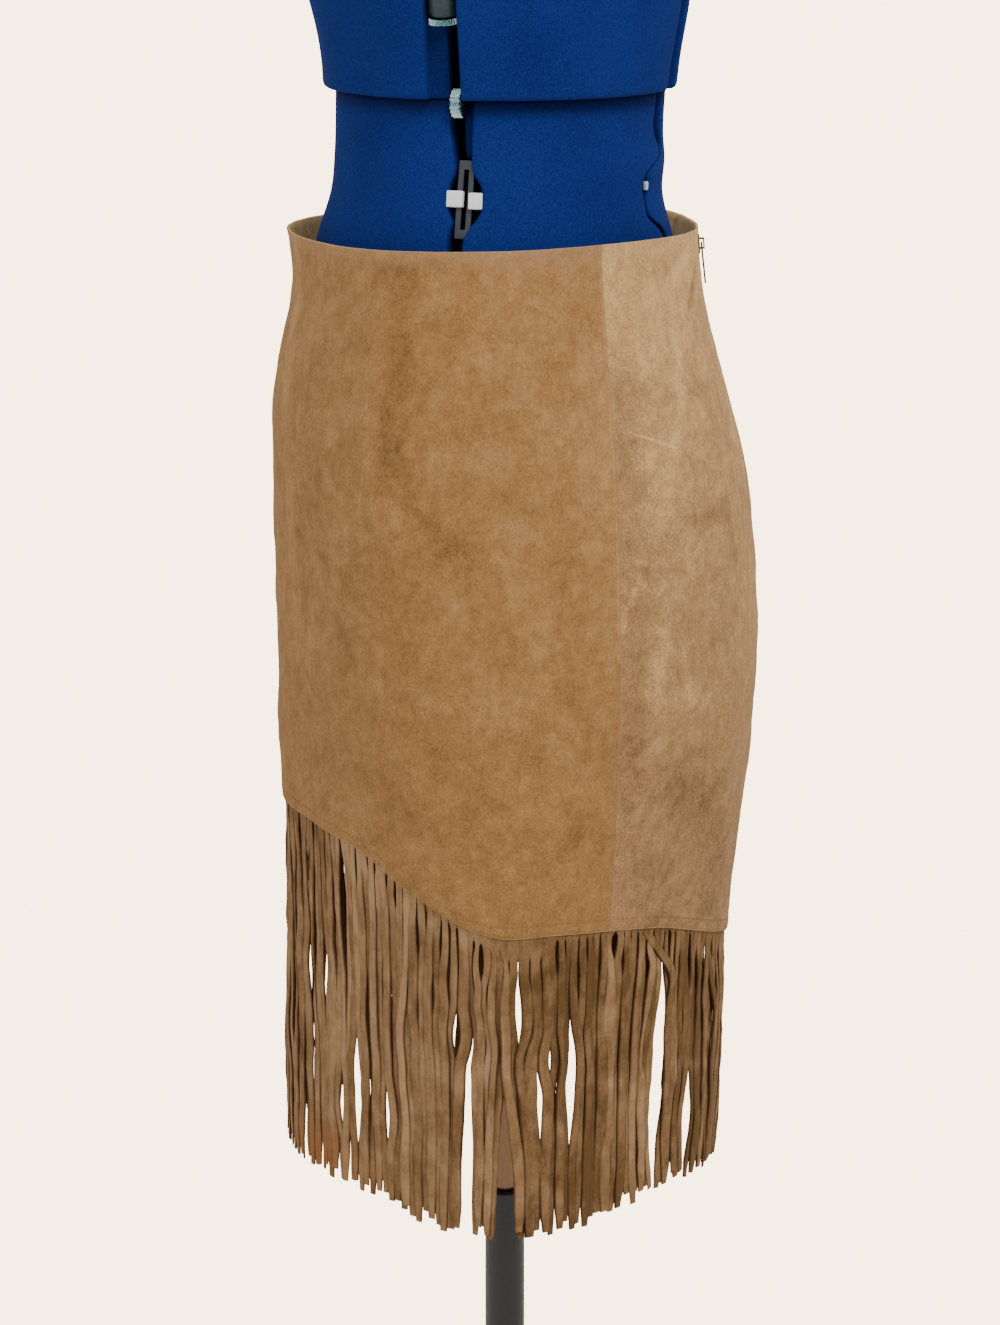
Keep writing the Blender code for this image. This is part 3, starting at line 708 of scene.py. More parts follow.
def suede(name, wear_shade_and_sheen_lines, look):
    """Suede with its nap, reverse, cut edges, slanted wrinkles, lines of wear and of painted shade and sheen,
    and painted light at the top.
    """
    material = blank_material(name)
    material.cycles.emission_sampling = "NONE"
    tree = material.node_tree
    nap_tone, nap_height = nap_of(tree, look.nap)
    flat = pattern_place(tree)
    down = node(tree, "ShaderNodeSeparateXYZ", {0: flat}).outputs["Y"]
    inside = attribute(tree, "inside")
    tone = math_of(tree, "ADD", mapped(tree, down, 0.0, FADE_REACH, *look.fade), nap_tone)
    values = {"Vector": flat, "Rotation": (0.0, 0.0, look.slant), "Scale": (3.2, 1.0, 1.0)}
    slanted = node(tree, "ShaderNodeMapping", values, vector_type="TEXTURE").outputs[0]
    wrinkles = noise_of(tree, slanted, 85.0, 3.0, 0.5, 0.5)
    tone = math_of(tree, "MULTIPLY_ADD", math_of(tree, "SUBTRACT", wrinkles, 0.5), look.wrinkled, tone)
    for marking in wear_shade_and_sheen_lines:
        ends = {
            "From": (math.radians(marking.phase) * HIP, marking.drop, 0.0),
            "To": (math.radians(marking.to_phase) * HIP, marking.to_drop, 0.0),
        }
        values = {**ends, "Width": marking.width, "Ragged": marking.ragged, "Broken": marking.broken}
        mask = node(tree, "ShaderNodeGroup", values, node_tree=WEAR_SHADE_AND_SHEEN_MASK).outputs["Mask"]
        # each line adds to the tone: wear and stains, and painted shade and sheen
        tone = math_of(tree, "MULTIPLY_ADD", mask, marking.tone, tone)
    tone_on_ramp = math_of(tree, "MULTIPLY_ADD", tone, 0.75, 0.125)
    outer = ramp(tree, tone_on_ramp, tuple(zip((0.0, 0.5, 1.0), look.face)))
    # a painted highlight along the top edge
    outer = mixed(tree, mapped(tree, down, 0.0, TOP_EDGE_HIGHLIGHT_REACH, look.bloom, 0.0, "SMOOTHSTEP"), outer, TOP_EDGE_HIGHLIGHT)
    inner = mixed(tree, tone, *(tuple(share * value for value in REVERSE) for share in (0.75, 1.2)))
    both = mixed(tree, inside, outer, inner)
    colour = mixed(tree, times(tree, attribute(tree, "cut_edge"), 0.5), both, look.cut)
    # the reverse glows near the top edge: painted light
    top = mapped(tree, down, 0.0, PAINTED_GLOW_REACH, PAINTED_GLOW, 0.0, "SMOOTHSTEP")
    share = times(tree, times(tree, top, inside), tone)
    soft = bump_of(tree, wrinkles, 0.5, 0.006 * look.wrinkled)
    values = {
        **SUEDE_SURFACE,
        "Base Color": colour,
        "Sheen Weight": 0.06,
        "Sheen Tint": (1.0, 0.72, 0.45, 1.0),
        "Emission Color": mixed(tree, share, (0.0, 0.0, 0.0), PAINTED_GLOW_COLOUR),
        "Emission Strength": 1.0,
        "Normal": bump_of(tree, nap_height, 0.6, 0.0007, Normal=soft),
    }
    return principled(material, values)


# A look: its three tones and the amounts of its nap's layers; fade is the tone added at the top edge and that
# at the hem; slant is how the wrinkles lie, in radians; the last is how strongly a painted highlight lightens
# the top edge.
Look = namedtuple("Look", "face cut fade nap slant wrinkled bloom")
TAN_LOOK = Look(
    ((0.14, 0.072, 0.025), (0.276, 0.147, 0.054), (0.41, 0.235, 0.105)),
    (0.42, 0.26, 0.13),
    (0.04, -0.08),
    {"Patches": 0.8, "Mottles": 1.04, "Streaks": 0.3, "Fibre": 1.5},
    -0.6,
    0.3,
    0.24,
)
PALE_LOOK = Look(
    ((0.135, 0.073, 0.034), (0.345, 0.195, 0.088), (0.655, 0.412, 0.176)),
    (0.5, 0.33, 0.16),
    (0.27, -0.3),
    {"Patches": 0.65, "Mottles": 0.8, "Streaks": 0.12, "Fibre": 1.4},
    -0.45,
    0.4,
    0.1,
)
# the colour of the painted highlight along the top edge
TOP_EDGE_HIGHLIGHT = (0.42, 0.285, 0.175)
# the reverse's colour: the flesh side's own, made very pale as painted light for the shaded inside of the
# waist
REVERSE = (0.72, 0.47, 0.15)
TAN = suede("tan_suede", FRONT_WEAR_SHADE_AND_SHEEN, TAN_LOOK)
PALE_LEFT = suede("pale_suede_left", LEFT_BACK_WEAR_SHADE_AND_SHEEN, PALE_LOOK)
PALE_RIGHT = suede("pale_suede_right", RIGHT_BACK_WEAR_SHADE_AND_SHEEN, PALE_LOOK._replace(slant=0.45))


def seam_dip(away):
    """How far a panel's edge rolls in at a seam, from its distance to it."""
    return 0.0004 * np.exp(-((away / 0.0012) ** 2)) - 0.0005 * np.exp(-((away / 0.004) ** 2))


def panel(name, phase, share, material):
    """A panel from its grids of phases and of shares of the way from the top edge to the hem."""
    drop = waist_drop(phase) + share * (hem_drop(phase) - waist_drop(phase))
    lip = LIP * np.exp(-share * PANEL_DEPTH / LIP_REACH)
    side_away = np.abs(np.abs(turned_by(phase, 0)) - SEAM_PHASE) * math.radians(1) * HIP
    out = skirt_out(phase, drop)
    outer = skirt_point(phase, drop) + out * (lip - seam_dip(side_away))[..., None]
    pared = HEM_PARED * np.exp(-(1 - share) * PANEL_DEPTH / HEM_PARED_REACH)
    mesh = cloth_wall(name, phase, drop, outer - out * pared[..., None], out, SUEDE, pared)
    piece = add_piece(name + "_suede", mesh, material, replaces=[name])
    return piece


SEAM_EDGE = SEAM_PHASE - math.degrees(SEAM_GAP / 2 / SKIRT[6].side)
SHARES = spread(0.0, 1.0, CLOTH_STEP / PANEL_DEPTH, CUT_ROUND / PANEL_DEPTH)


def front_panel():
    phases = spread(-SEAM_EDGE, SEAM_EDGE, math.degrees(CLOTH_STEP / HIP), math.degrees(CUT_ROUND / HIP))
    phase, share = np.meshgrid(phases, SHARES, indexing="ij")
    return panel("front_panel", phase, share, TAN)


ZIP_TOP, ZIP_LENGTH = 0.0045, 0.17
ZIP_SLOT, ZIP_SLOT_CLOSES = 0.009, 0.01


def back_phase(side, share_round, drop):
    """Phases at shares of the way from a side-back seam to the edge at centre back."""
    closed = np.clip((drop - ZIP_TOP - ZIP_LENGTH) / ZIP_SLOT_CLOSES + 1.0, 0.0, 1.0)
    opening = ZIP_SLOT / 2 * (1 - closed) + SEAM_GAP / 2 * closed
    end = 180 - np.degrees(opening / reach(SKIRT, np.full_like(drop, 180.0), drop))
    start = 2 * SEAM_PHASE - SEAM_EDGE
    return side * (start + share_round * (end - start))


def back_panel(name, side, material):
    across = spread(0.0, 1.0, CLOTH_STEP / BACK_WIDTH, CUT_ROUND / BACK_WIDTH)
    if side < 0:
        across = across[::-1]
    rounds, share = np.meshgrid(across, SHARES, indexing="ij")
    drop = share * HEM[-1].drop
    for _ in range(3):  # the hem's drop depends on the phase, and the phase on the drop
        drop = share * hem_drop(back_phase(side, rounds, drop))
    return panel(name, back_phase(side, rounds, drop), share, material)


front_panel()
back_panel("left_back_panel", 1, PALE_LEFT)
back_panel("right_back_panel", -1, PALE_RIGHT)

# ---------------------------------------------------------------------------------------------------------
# The fringe: a strip of the same suede sewn behind each panel's hem and slit almost to its top into strands
# about 5 mm wide. The strands twist, cling together and part, some cross, and their cut ends are uneven.

PITCH = 0.0052  # from strand to strand round the skirt
STRAND_THICKNESS = 0.0013
STRAND_WIDENS = 1.2  # below the slits' tops, where strands lap over one another
BAND_THICKNESS = 0.0013
BAND_RISE = 0.012  # how far the strip reaches up behind the hem
SEWN_BEHIND = 0.0002  # between the panel's back and the strip's face
STRAND_POINTS = 46
LAP = 0.0006  # how far neighbouring strands lap where nothing parts them
HIDDEN_TOP = 0.005  # how far a strand reaches up inside the band's pared foot
BAND_PARED = 0.0005  # how much thinner the band is at its foot
TIP_NARROWS = 0.34  # the share of its width that a strand loses towards its tip
FAR_TIPS = 0.43  # slits end above this drop, so that below it the fringe is closed but for its partings
CUTS_DROP = 0.43  # where the strands' even pitch is measured
SLIT_RISE = 0.0012  # how far a slit reaches up into the band
PARTING_REACH = 3.2  # how many strands beside a parting are pushed along by it
SLIT_REACH = 0.5
SUNK_SHARE, SINKS = 0.3, 0.0018  # how many strands may lie behind their neighbours, and how far
LAYER = 0.0005  # how far strands lie out or in by turns
TIP_UNEVEN = 0.0019
SHORT_SHARE, SHORTER = 0.1, 0.005  # how many strands are cut shorter, and by how much
SWAY, FINE_SWAY, SHARED_SWAY = 0.00026, 0.00016, 0.0007  # strands hang aside by themselves and together
TWISTS, TWIST_SHARES = (0.2, 0.45, 1.1), (0.62, 0.3, 0.08)  # how strongly strands twist, and how many do
RIGHT_WIDER = 1.1
CURL_REACHES = (0.008, 0.026)
# how much strands differ in tone; how far a strand that lies behind its neighbours is darkened, as painted
# shade; and how much paler strands are made where they lie close below the band
TONE_UNEVEN, SUNK_SHADE, CLOSE_PALER = 0.13, 0.3, 0.44
STAIN_PHASE, STAIN_HALF = 36, 17  # where the strands' tips are stained, and how far round
BESIDE = 0.13  # how far a strand closes over one that lies behind it, as a share of the pitch
TIPS = table_of(
    Edge,
    (0, 0.507),
    (50, 0.505),
    (90, 0.516),
    (135, 0.508),
    (180, 0.517),
)

# How much of the unslit band shows below the hem, round the whole skirt.
Band = namedtuple("Band", "phase show")
BANDS = table_of(
    Band,
    (-180, 0.002),
    (-150, 0.004),
    (-128, 0.0015),
    (-104, 0.003),
    (-95, 0.009),
    (-86, 0.005),
    (-70, 0.0015),
    (-30, 0.003),
    (0, 0.0015),
    (34, 0.001),
    (60, 0.0014),
    (80, 0.0016),
    (86, 0.006),
    (91, 0.0115),
    (96.5, 0.011),
    (99, 0.003),
    (112, 0.0012),
    (150, 0.0018),
    (180, 0.002),
)

# Spindles between two strands, each from a drop to a drop and so wide. Partings are long and push the strands
# on both sides along; slits are short and narrow, and mostly start at the band.
Spindle = namedtuple("Spindle", "phase top foot opening")
PARTINGS = table_of(
    Spindle,
    # the wearer's left
    (33.4, 0.378, 0.414, 0.0052),
    (41.2, 0.374, 0.414, 0.0046),
    (48.8, 0.44, 0.484, 0.006),
    (54.3, 0.418, 0.484, 0.0058),
    (63.8, 0.438, 0.484, 0.0056),
    (81.4, 0.392, 0.424, 0.006),
    (83.2, 0.388, 0.6, 0.008),
    (89.4, 0.414, 0.6, 0.015),
    (92.4, 0.372, 0.416, 0.004),
    (96.4, 0.406, 0.482, 0.0052),
    (98.1, 0.406, 0.438, 0.0054),
    (102.4, 0.398, 0.478, 0.005),
    (117.0, 0.49, 0.545, 0.0024),
    (128.0, 0.378, 0.516, 0.016),
    (141.6, 0.44, 0.514, 0.0145),
    (159.0, 0.486, 0.545, 0.006),
    # the wearer's right
    (-27.7, 0.394, 0.446, 0.01),
    (-34.9, 0.4, 0.47, 0.009),
    (-43.0, 0.48, 0.56, 0.007),
    (-48.9, 0.462, 0.56, 0.01),
    (-79.7, 0.462, 0.53, 0.006),
    (-82.3, 0.462, 0.575, 0.011),
    (-93.0, 0.44, 0.54, 0.007),
    (-97.2, 0.48, 0.56, 0.007),
    (-99.0, 0.48, 0.56, 0.007),
    (-104.8, 0.466, 0.56, 0.01),
    (-133.6, 0.42, 0.56, 0.018),
    (-150.4, 0.466, 0.56, 0.013),
    # the front and the back
    (-16.0, 0.385, 0.455, 0.0044),
    (4.0, 0.43, 0.53, 0.006),
    (165.0, 0.43, 0.545, 0.006),
    (-167.5, 0.496, 0.56, 0.009),
    (-160.0, 0.48, 0.545, 0.005),
)
SLITS = table_of(
    Spindle,
    (24.0, 0.304, 0.324, 0.0016),
    (26.0, 0.356, 0.404, 0.0018),
    (43.0, 0.306, 0.372, 0.0022),
    (50.6, 0.308, 0.396, 0.0046),
    (56.4, 0.314, 0.344, 0.002),
    (59.8, 0.314, 0.332, 0.0022),
    (62.0, 0.316, 0.332, 0.002),
    (66.0, 0.322, 0.34, 0.0022),
    (68.4, 0.324, 0.348, 0.0026),
    (66.6, 0.376, 0.43, 0.0013),
    (63.8, 0.362, 0.426, 0.0016),
    (73.4, 0.336, 0.374, 0.0024),
    (74.9, 0.336, 0.364, 0.002),
    (78.0, 0.345, 0.378, 0.0026),
    (80.0, 0.344, 0.398, 0.0024),
    (81.6, 0.343, 0.4, 0.0026),
    (84.2, 0.354, 0.39, 0.0024),
    (86.6, 0.354, 0.398, 0.0024),
    (87.9, 0.362, 0.392, 0.0012),
    (89.6, 0.364, 0.384, 0.0014),
    (93.9, 0.364, 0.392, 0.0014),
    (96.0, 0.364, 0.392, 0.0014),
    (99.6, 0.351, 0.378, 0.003),
    (101.3, 0.352, 0.372, 0.0018),
    (103.2, 0.352, 0.414, 0.0028),
    (106.3, 0.355, 0.378, 0.0014),
    (108.5, 0.356, 0.422, 0.0014),
    (109.9, 0.356, 0.38, 0.0012),
    (115.0, 0.357, 0.384, 0.0026),
    (117.2, 0.358, 0.376, 0.0022),
    (119.4, 0.359, 0.378, 0.0026),
    (125.2, 0.362, 0.38, 0.0034),
    (128.0, 0.364, 0.39, 0.004),
    (131.2, 0.365, 0.384, 0.0026),
    (138.4, 0.368, 0.412, 0.0034),
    (144.0, 0.38, 0.412, 0.0024),
    (135.0, 0.42, 0.458, 0.0026),
    (119.8, 0.384, 0.44, 0.002),
    (94.7, 0.384, 0.436, 0.002),
    (86.9, 0.404, 0.47, 0.0018),
    (76.2, 0.376, 0.404, 0.0018),
    (72.4, 0.388, 0.414, 0.0018),
)

# How much narrower a strand can look just below the band, where its edges curl: a phase and a share of the
# strand's width.
RIGHT_CURLS = ((-180, 0.45), (-100, 0.25), (-20, 0.15))
CURLS = (*RIGHT_CURLS, (20, 0.3), (45, 0.7), (120, 0.8), (150, 0.5), (180, 0.45))

# Where the strands lie flat and close just below the band, and are made paler: phase and how much so.
CLOSE = ((49, 0.0), (53, 1.0), (70, 1.0), (77, 0.0))

# How much paler or darker than the rest the strands are, round the whole skirt.
Shade = namedtuple("Shade", "phase tone")
TONES = table_of(
    Shade,
    (-180, -0.1),
    (-130, -0.18),
    (-80, 0.06),
    (-30, -0.12),
    (0, 0.0),
    (30, -0.04),
    (50, 0.02),
    (64, 0.08),
    (82, 0.0),
    (94, -0.1),
    (102, -0.3),
    (110, -0.24),
    (118, -0.12),
    (130, -0.2),
    (150, -0.24),
    (180, -0.1),
)

# A strand more, that crosses the others below the band: how far round it moves, in degrees, and how far out.
Crossing = namedtuple("Crossing", "phase top foot turn lift")
CROSSINGS = table_of(
    Crossing,
    (120.0, 0.354, 0.396, 11.6, 0.0022),
    (70.5, 0.35, 0.41, -1.4, 0.0014),
    (-118.0, 0.362, 0.394, -4.6, 0.0022),
    (152.0, 0.39, 0.43, 3.4, 0.0018),
)
# A strand wound into a cord over part of its length: whole turns between two drops.
Winding = namedtuple("Winding", "phase top foot turns")
WINDINGS = table_of(
    Winding,
    (35.0, 0.326, 0.366, 4),
    (-57.0, 0.404, 0.436, 2),
    (156.0, 0.41, 0.44, 2),
)


def tips_drop(phase):
    return eased(TIPS, np.abs(turned_by(phase, 0)))[1]


def under_skirt(phase, drop, inset):
    """Points inside the skirt's outer face, and the outward directions there."""
    out = skirt_out(phase, drop)
    return skirt_point(phase, drop) - out * np.asarray(inset)[..., None], out


def at_phase(table, phase):
    """A value round the skirt, from a table of phases and values."""
    return np.interp(turned_by(phase, 0), *zip(*table))


def fringe_band(name, start, end):
    """The unslit top of a strip, from behind the hem to where the slits begin."""
    phases = spread(start, end, math.degrees(0.004 / HIP), math.degrees(CUT_ROUND / HIP))
    phase, share = np.meshgrid(phases, np.linspace(0, 1, 13), indexing="ij")
    top = hem_drop(phase) - BAND_RISE
    foot = hem_drop(phase) + at_phase(BANDS, phase)
    drop = top + share * (foot - top)
    pared = BAND_PARED * smooth_step(drop, foot - HIDDEN_TOP, foot)
    outer, out = under_skirt(phase, drop, SUEDE + SEWN_BEHIND + pared)
    return cloth_wall(name, phase, drop, outer, out, BAND_THICKNESS, pared, foot=0.0)


def strand_places(start, end):
    """Lengths round the skirt to the cuts between strands, as even as the partings allow, and phases there.

    Also the number of the cut that each parting sits on.
    """
    fine = np.linspace(start, end, 3000)
    points = skirt_point(fine, np.full_like(fine, CUTS_DROP))
    arc = np.concatenate([[0.0], np.cumsum(np.linalg.norm(np.diff(points, axis=0), axis=-1))])
    count = round(arc[-1] / PITCH)
    cuts, places, numbers = [0], [0.0], {}
    for parting in sorted(PARTINGS):
        if start < parting.phase < end:
            place = float(np.interp(parting.phase, fine, arc))
            numbers[parting] = max(round(place / arc[-1] * count), cuts[-1] + 1)
            cuts.append(numbers[parting])
            places.append(place)
    edges = np.interp(np.arange(count + 1), [*cuts, count], [*places, arc[-1]])
    return edges, np.interp((edges[1:] + edges[:-1]) / 2, arc, fine), numbers


def smooth_step(value, low, high):
    t = np.clip((value - low) / (high - low), 0.0, 1.0)
    return t * t * (3 - 2 * t)


# A strip's strands. Round the skirt: the lengths to its cuts and to its strands' middles, the strands' phases
# and how far apart they were cut; the first in_row of them stand side by side and the rest cross them. Down
# each strand: the shares of its length, the drops there, and where its slit and the strand itself begin.
Row = namedtuple(
    "Row", "start end seed chance cuts parted crossings place root count pitch in_row share slit top drop"
)


def strand_row(start, end, seed):
    chance = np.random.default_rng(seed)
    cuts, root, parted = strand_places(start, end)
    in_row = len(root)
    crossings = [crossing for crossing in CROSSINGS if start < crossing.phase < end]
    numbers = [np.interp(crossing.phase, root, np.arange(in_row)) for crossing in crossings]
    place = (cuts[1:] + cuts[:-1]) / 2
    place = np.append(place, [np.interp(number, np.arange(in_row), place) for number in numbers])
    pitch = np.append(np.diff(cuts), [PITCH for crossing in crossings])
    root = np.append(root, [crossing.phase for crossing in crossings])
    share = np.linspace(0, 1, STRAND_POINTS)[None, :] ** 1.25
    slit = hem_drop(root) + at_phase(BANDS, root) - SLIT_RISE
    tip = tips_drop(root) + chance.normal(0, TIP_UNEVEN, len(root))
    tip = tip - SHORTER * (chance.random(len(root)) < SHORT_SHARE)
    top = slit - HIDDEN_TOP
    down = share, slit, top, top[:, None] + share * (tip - top)[:, None]
    count = len(root)
    return Row(start, end, seed, chance, cuts, parted, crossings, place, root, count, pitch, in_row, *down)


def waver(row, waves, lowest=0.3, highest=1.6):
    """A slow, separate wandering of about -1 to 1 for each strand, along its length."""
    total = np.zeros_like(row.drop)
    for _ in range(waves):
        turns = row.chance.uniform(lowest, highest, (row.count, 1))
        start = row.chance.uniform(0, 2 * math.pi, (row.count, 1))
        total += np.sin(2 * math.pi * turns * row.share + start)
    return total / math.sqrt(waves)


def bulge(drop, spindle):
    """How open a spindle is at each drop, from 0 at both its ends to 1 in the middle."""
    height = (drop - spindle.top) / (spindle.foot - spindle.top)
    return np.where((height > 0) & (height < 1), np.sin(math.pi * np.clip(height, 0, 1)) ** 1.2, 0.0)


def own_slits(row, taken):
    """Random slits for the cuts between strands that no listed spindle has taken."""
    made = []
    for cut in range(1, row.in_row):
        if cut in taken:
            continue
        phase, chance, top = row.root[cut], row.chance, row.slit[cut] - 0.002
        wide, often = (1.0, 0.7) if phase > 0 else (0.3, 0.15)
        if chance.random() < often:
            opening = wide * chance.uniform(0.002, 0.0052) * (1 - 0.7 * np.interp(phase, *zip(*CLOSE)))
            made.append((cut, Spindle(0.0, top, top + chance.uniform(0.012, 0.044), opening), SLIT_REACH))
        if chance.random() < 0.7:
            foot = min(top + chance.uniform(0.03, 0.11), FAR_TIPS)
            length = chance.uniform(0.018, 0.05)
            lower = Spindle(0.0, foot - length, foot, wide * chance.uniform(0.0008, 0.0032))
            made.append((cut, lower, SLIT_REACH))
    return made


def row_openings(row):
    """Every opening as its cut, its spindle and its reach round, and the cuts that are taken."""
    openings = [(cut, parting, PARTING_REACH) for parting, cut in row.parted.items()]
    taken = {near for cut in row.parted.values() for near in (cut - 1, cut, cut + 1)}
    for slit in SLITS:
        if row.start < slit.phase < row.end:
            place = np.interp(slit.phase, row.root[: row.in_row], row.place[: row.in_row])
            cut = int(np.argmin(np.abs(row.cuts - place)))
            openings.append((cut, slit, SLIT_REACH))
            taken.add(cut)
    return openings + own_slits(row, taken), taken


def loose(row):
    return smooth_step(row.share, 0.0, 0.35)


def lapped(row):
    return smooth_step(row.share, 0.05, 0.3)


def wandering(row):
    """How far each strand hangs aside from where it was cut, as a length round the skirt."""
    shift = SWAY * loose(row) * waver(row, 2)
    shift = shift + FINE_SWAY * loose(row) * waver(row, 2, 2.0, 4.5)
    together = np.sin(np.radians(row.root[:, None]) * 9 + 4 * row.share + row.seed)
    return shift + SHARED_SWAY * loose(row) * together


def pushed(row, shift, openings):
    """The strands' shifts with those beside each opening pushed away from it."""
    for cut, spindle, reach_round in openings:
        away = row.place - row.cuts[cut]
        beyond = np.maximum(np.abs(away) / PITCH - 0.5, 0.0)
        push = np.sign(away) * np.exp(-beyond / reach_round) / 2
        shift = shift + push[:, None] * (spindle.opening + LAP * lapped(row)) * bulge(row.drop, spindle)
    return shift


def sunk(row, taken):
    """How far behind its neighbours each strand lies, 0 to 1: a few do, but none beside an opening."""
    behind = row.chance.random(row.count) < SUNK_SHARE
    for strand in range(row.count):
        beside_one = strand == 0 or strand >= row.in_row - 1 or behind[strand - 1]
        if behind[strand] and (beside_one or {strand, strand + 1} & taken):
            behind[strand] = False
    return behind[:, None] * smooth_step(row.share, 0.1, 0.35)


def closed_over(row, sinks):
    """How far the strands beside a sunk one close over it."""
    moved = np.zeros_like(sinks)
    moved[1:] -= BESIDE * PITCH * sinks[:-1]
    moved[:-1] += BESIDE * PITCH * sinks[1:]
    return moved * np.clip(0.8 + 0.5 * waver(row, 2, 0.6, 2.0), 0.2, 1.3)


def strand_inset(row, sinks):
    """How far inside the skirt's outer face each strand's middle line lies."""
    slack = 0.0006 * waver(row, 2) * loose(row) - SINKS * sinks
    by_turns = np.where(np.arange(row.count) % 2 == 0, LAYER, -LAYER)[:, None]
    layer = by_turns * smooth_step(row.share, 0.03, 0.2)
    inset = SUEDE + SEWN_BEHIND + BAND_THICKNESS / 2 - layer - slack
    rises = HIDDEN_TOP * row.chance.uniform(0.8, 1.4, (row.count, 1))
    return inset + 0.0008 * (1 - smooth_step(row.drop - row.top[:, None], 0.0, rises))


def degrees_round(row, length):
    """The degrees that a length round the skirt spans at each point of the strands."""
    rounds = np.repeat(row.root[:, None], STRAND_POINTS, axis=1)
    step = skirt_point(rounds + 0.25, row.drop) - skirt_point(rounds - 0.25, row.drop)
    return length / (np.linalg.norm(step, axis=-1) / 0.5)


def strand_turn(row):
    """How far each strand is twisted along its length, in radians: most a little, a few a lot."""
    twist = row.chance.choice(TWISTS, row.count, p=TWIST_SHARES)[:, None]
    turn = twist * 0.75 * waver(row, 2, 0.3, 1.3) * smooth_step(row.share, 0.02, 0.45)
    return turn * (1 - 0.5 * smooth_step(row.drop, FAR_TIPS - 0.03, FAR_TIPS + 0.01))


def strand_width(row):
    """Each strand's width as a share of the pitch: wider where it laps and narrower at its tip."""
    width = (row.pitch / PITCH * row.chance.uniform(0.96, 1.04, row.count))[:, None]
    width = width * (1 + 0.03 * waver(row, 2, 1, 3))
    fuller = np.where(row.root < 0, 1.0, 0.0)[:, None] * (0.05 + 0.17 * smooth_step(row.drop, 0.46, 0.42))
    width = width * (1 + (STRAND_WIDENS - 1) * lapped(row)) * (1 + fuller)
    width[[0, row.in_row - 1]] *= 1.0 + 0.3 * lapped(row)
    return width * (1 - TIP_NARROWS * smooth_step(row.share, 0.9, 1.0) ** 2)


def strand_girth(row, width):
    """The width as it looks: even at the band, then narrowed for a way where the edges curl."""
    even = (row.pitch / PITCH * np.where(row.root < 0, RIGHT_WIDER, 1.0))[:, None]
    girth = even + (width - even) * smooth_step(row.share, 0.02, 0.08)
    curls = np.random.default_rng(row.seed + 40)
    curl = curls.uniform(0.0, 1.0, (row.count, 1)) ** 1.3 * np.interp(row.root, *zip(*CURLS))[:, None]
    curl = curl * (1 - 0.6 * close(row))
    fades = np.exp(-below(row) / curls.uniform(*CURL_REACHES, (row.count, 1)))
    return girth * (1 - curl * smooth_step(below(row), 0.0, 0.0025) * fades)


def below(row):
    return np.maximum(row.drop - row.slit[:, None], 0.0)


def close(row):
    return np.interp(row.root, *zip(*CLOSE))[:, None]


def strand_looks(row, sinks):
    """Each point's tone, darkened as painted shade where a strand lies behind others; how stained it is; and
    how far painted shade darkens the strand's edges there.
    """
    starts = 0.002 + row.chance.uniform(0, 0.007, (row.count, 1))
    uneven = smooth_step(row.drop - row.slit[:, None], starts, 0.014)
    # strands are made paler where they lie close below the band
    made_paler = close(row) * (1 - smooth_step(below(row), 0.018, 0.072))
    own = row.chance.normal(0.0, TONE_UNEVEN, row.count)[:, None]
    # a strand that lies behind its neighbours is darkened: painted shade
    tone = 0.5 + own * uneven - SUNK_SHADE * sinks
    tone = tone + at_phase(TONES, row.root)[:, None] + CLOSE_PALER * made_paler
    stained = np.exp(-((turned_by(row.root, STAIN_PHASE) / STAIN_HALF) ** 2))[:, None]
    shade = np.clip(0.42 + 0.62 * waver(row, 3, 0.5, 3.0), 0.0, 1.0) * uneven * (1 - 0.7 * made_paler)
    return {"tone": tone, "stain": smooth_step(row.share, 0.8, 0.97) * stained, "shade": shade}


def strand_guides(name, start, end, seed):
    """The strands' middle lines as a mesh of edges, with each point's face direction, girth and looks."""
    row = strand_row(start, end, seed)
    shift = wandering(row)
    openings, taken = row_openings(row)
    shift = pushed(row, shift, openings)
    sinks = sunk(row, taken)
    shift = shift + closed_over(row, sinks)
    inset = strand_inset(row, sinks)
    phase = row.root[:, None] + degrees_round(row, shift)
    turn = strand_turn(row)
    width = strand_width(row)
    for strand, crossing in enumerate(row.crossings, row.in_row):
        moved = smooth_step(row.drop[strand], crossing.top, crossing.foot)
        phase[strand] += crossing.turn * moved
        inset[strand] -= crossing.lift * moved
    for winding in WINDINGS:
        if start < winding.phase < end:
            strand = int(np.argmin(np.abs(row.root - winding.phase)))
            wound = (row.drop[strand] - winding.top) / (winding.foot - winding.top)
            turn[strand] += math.pi * winding.turns * np.clip(wound, 0, 1)
            width[strand] *= 1 - 0.4 * smooth_step(wound, -0.1, 0.2) * smooth_step(wound, 1.1, 0.8)
    points, out = under_skirt(phase, row.drop, inset)
    beside = np.cross(np.array([0.0, 0.0, 1.0]), out)
    face = out * np.cos(turn)[..., None] + beside * np.sin(turn)[..., None]

    index = np.arange(row.drop.size).reshape(row.drop.shape)
    edges = np.stack([index[:, :-1].ravel(), index[:, 1:].ravel()], axis=-1)
    mesh = bpy.data.meshes.new(name)
    mesh.from_pydata(points.reshape(-1, 3).tolist(), edges.tolist(), [])
    keep_field(mesh, "face", face)
    for field, value in {"girth": strand_girth(row, width), **strand_looks(row, sinks)}.items():
        keep_field(mesh, field, value)
    return mesh


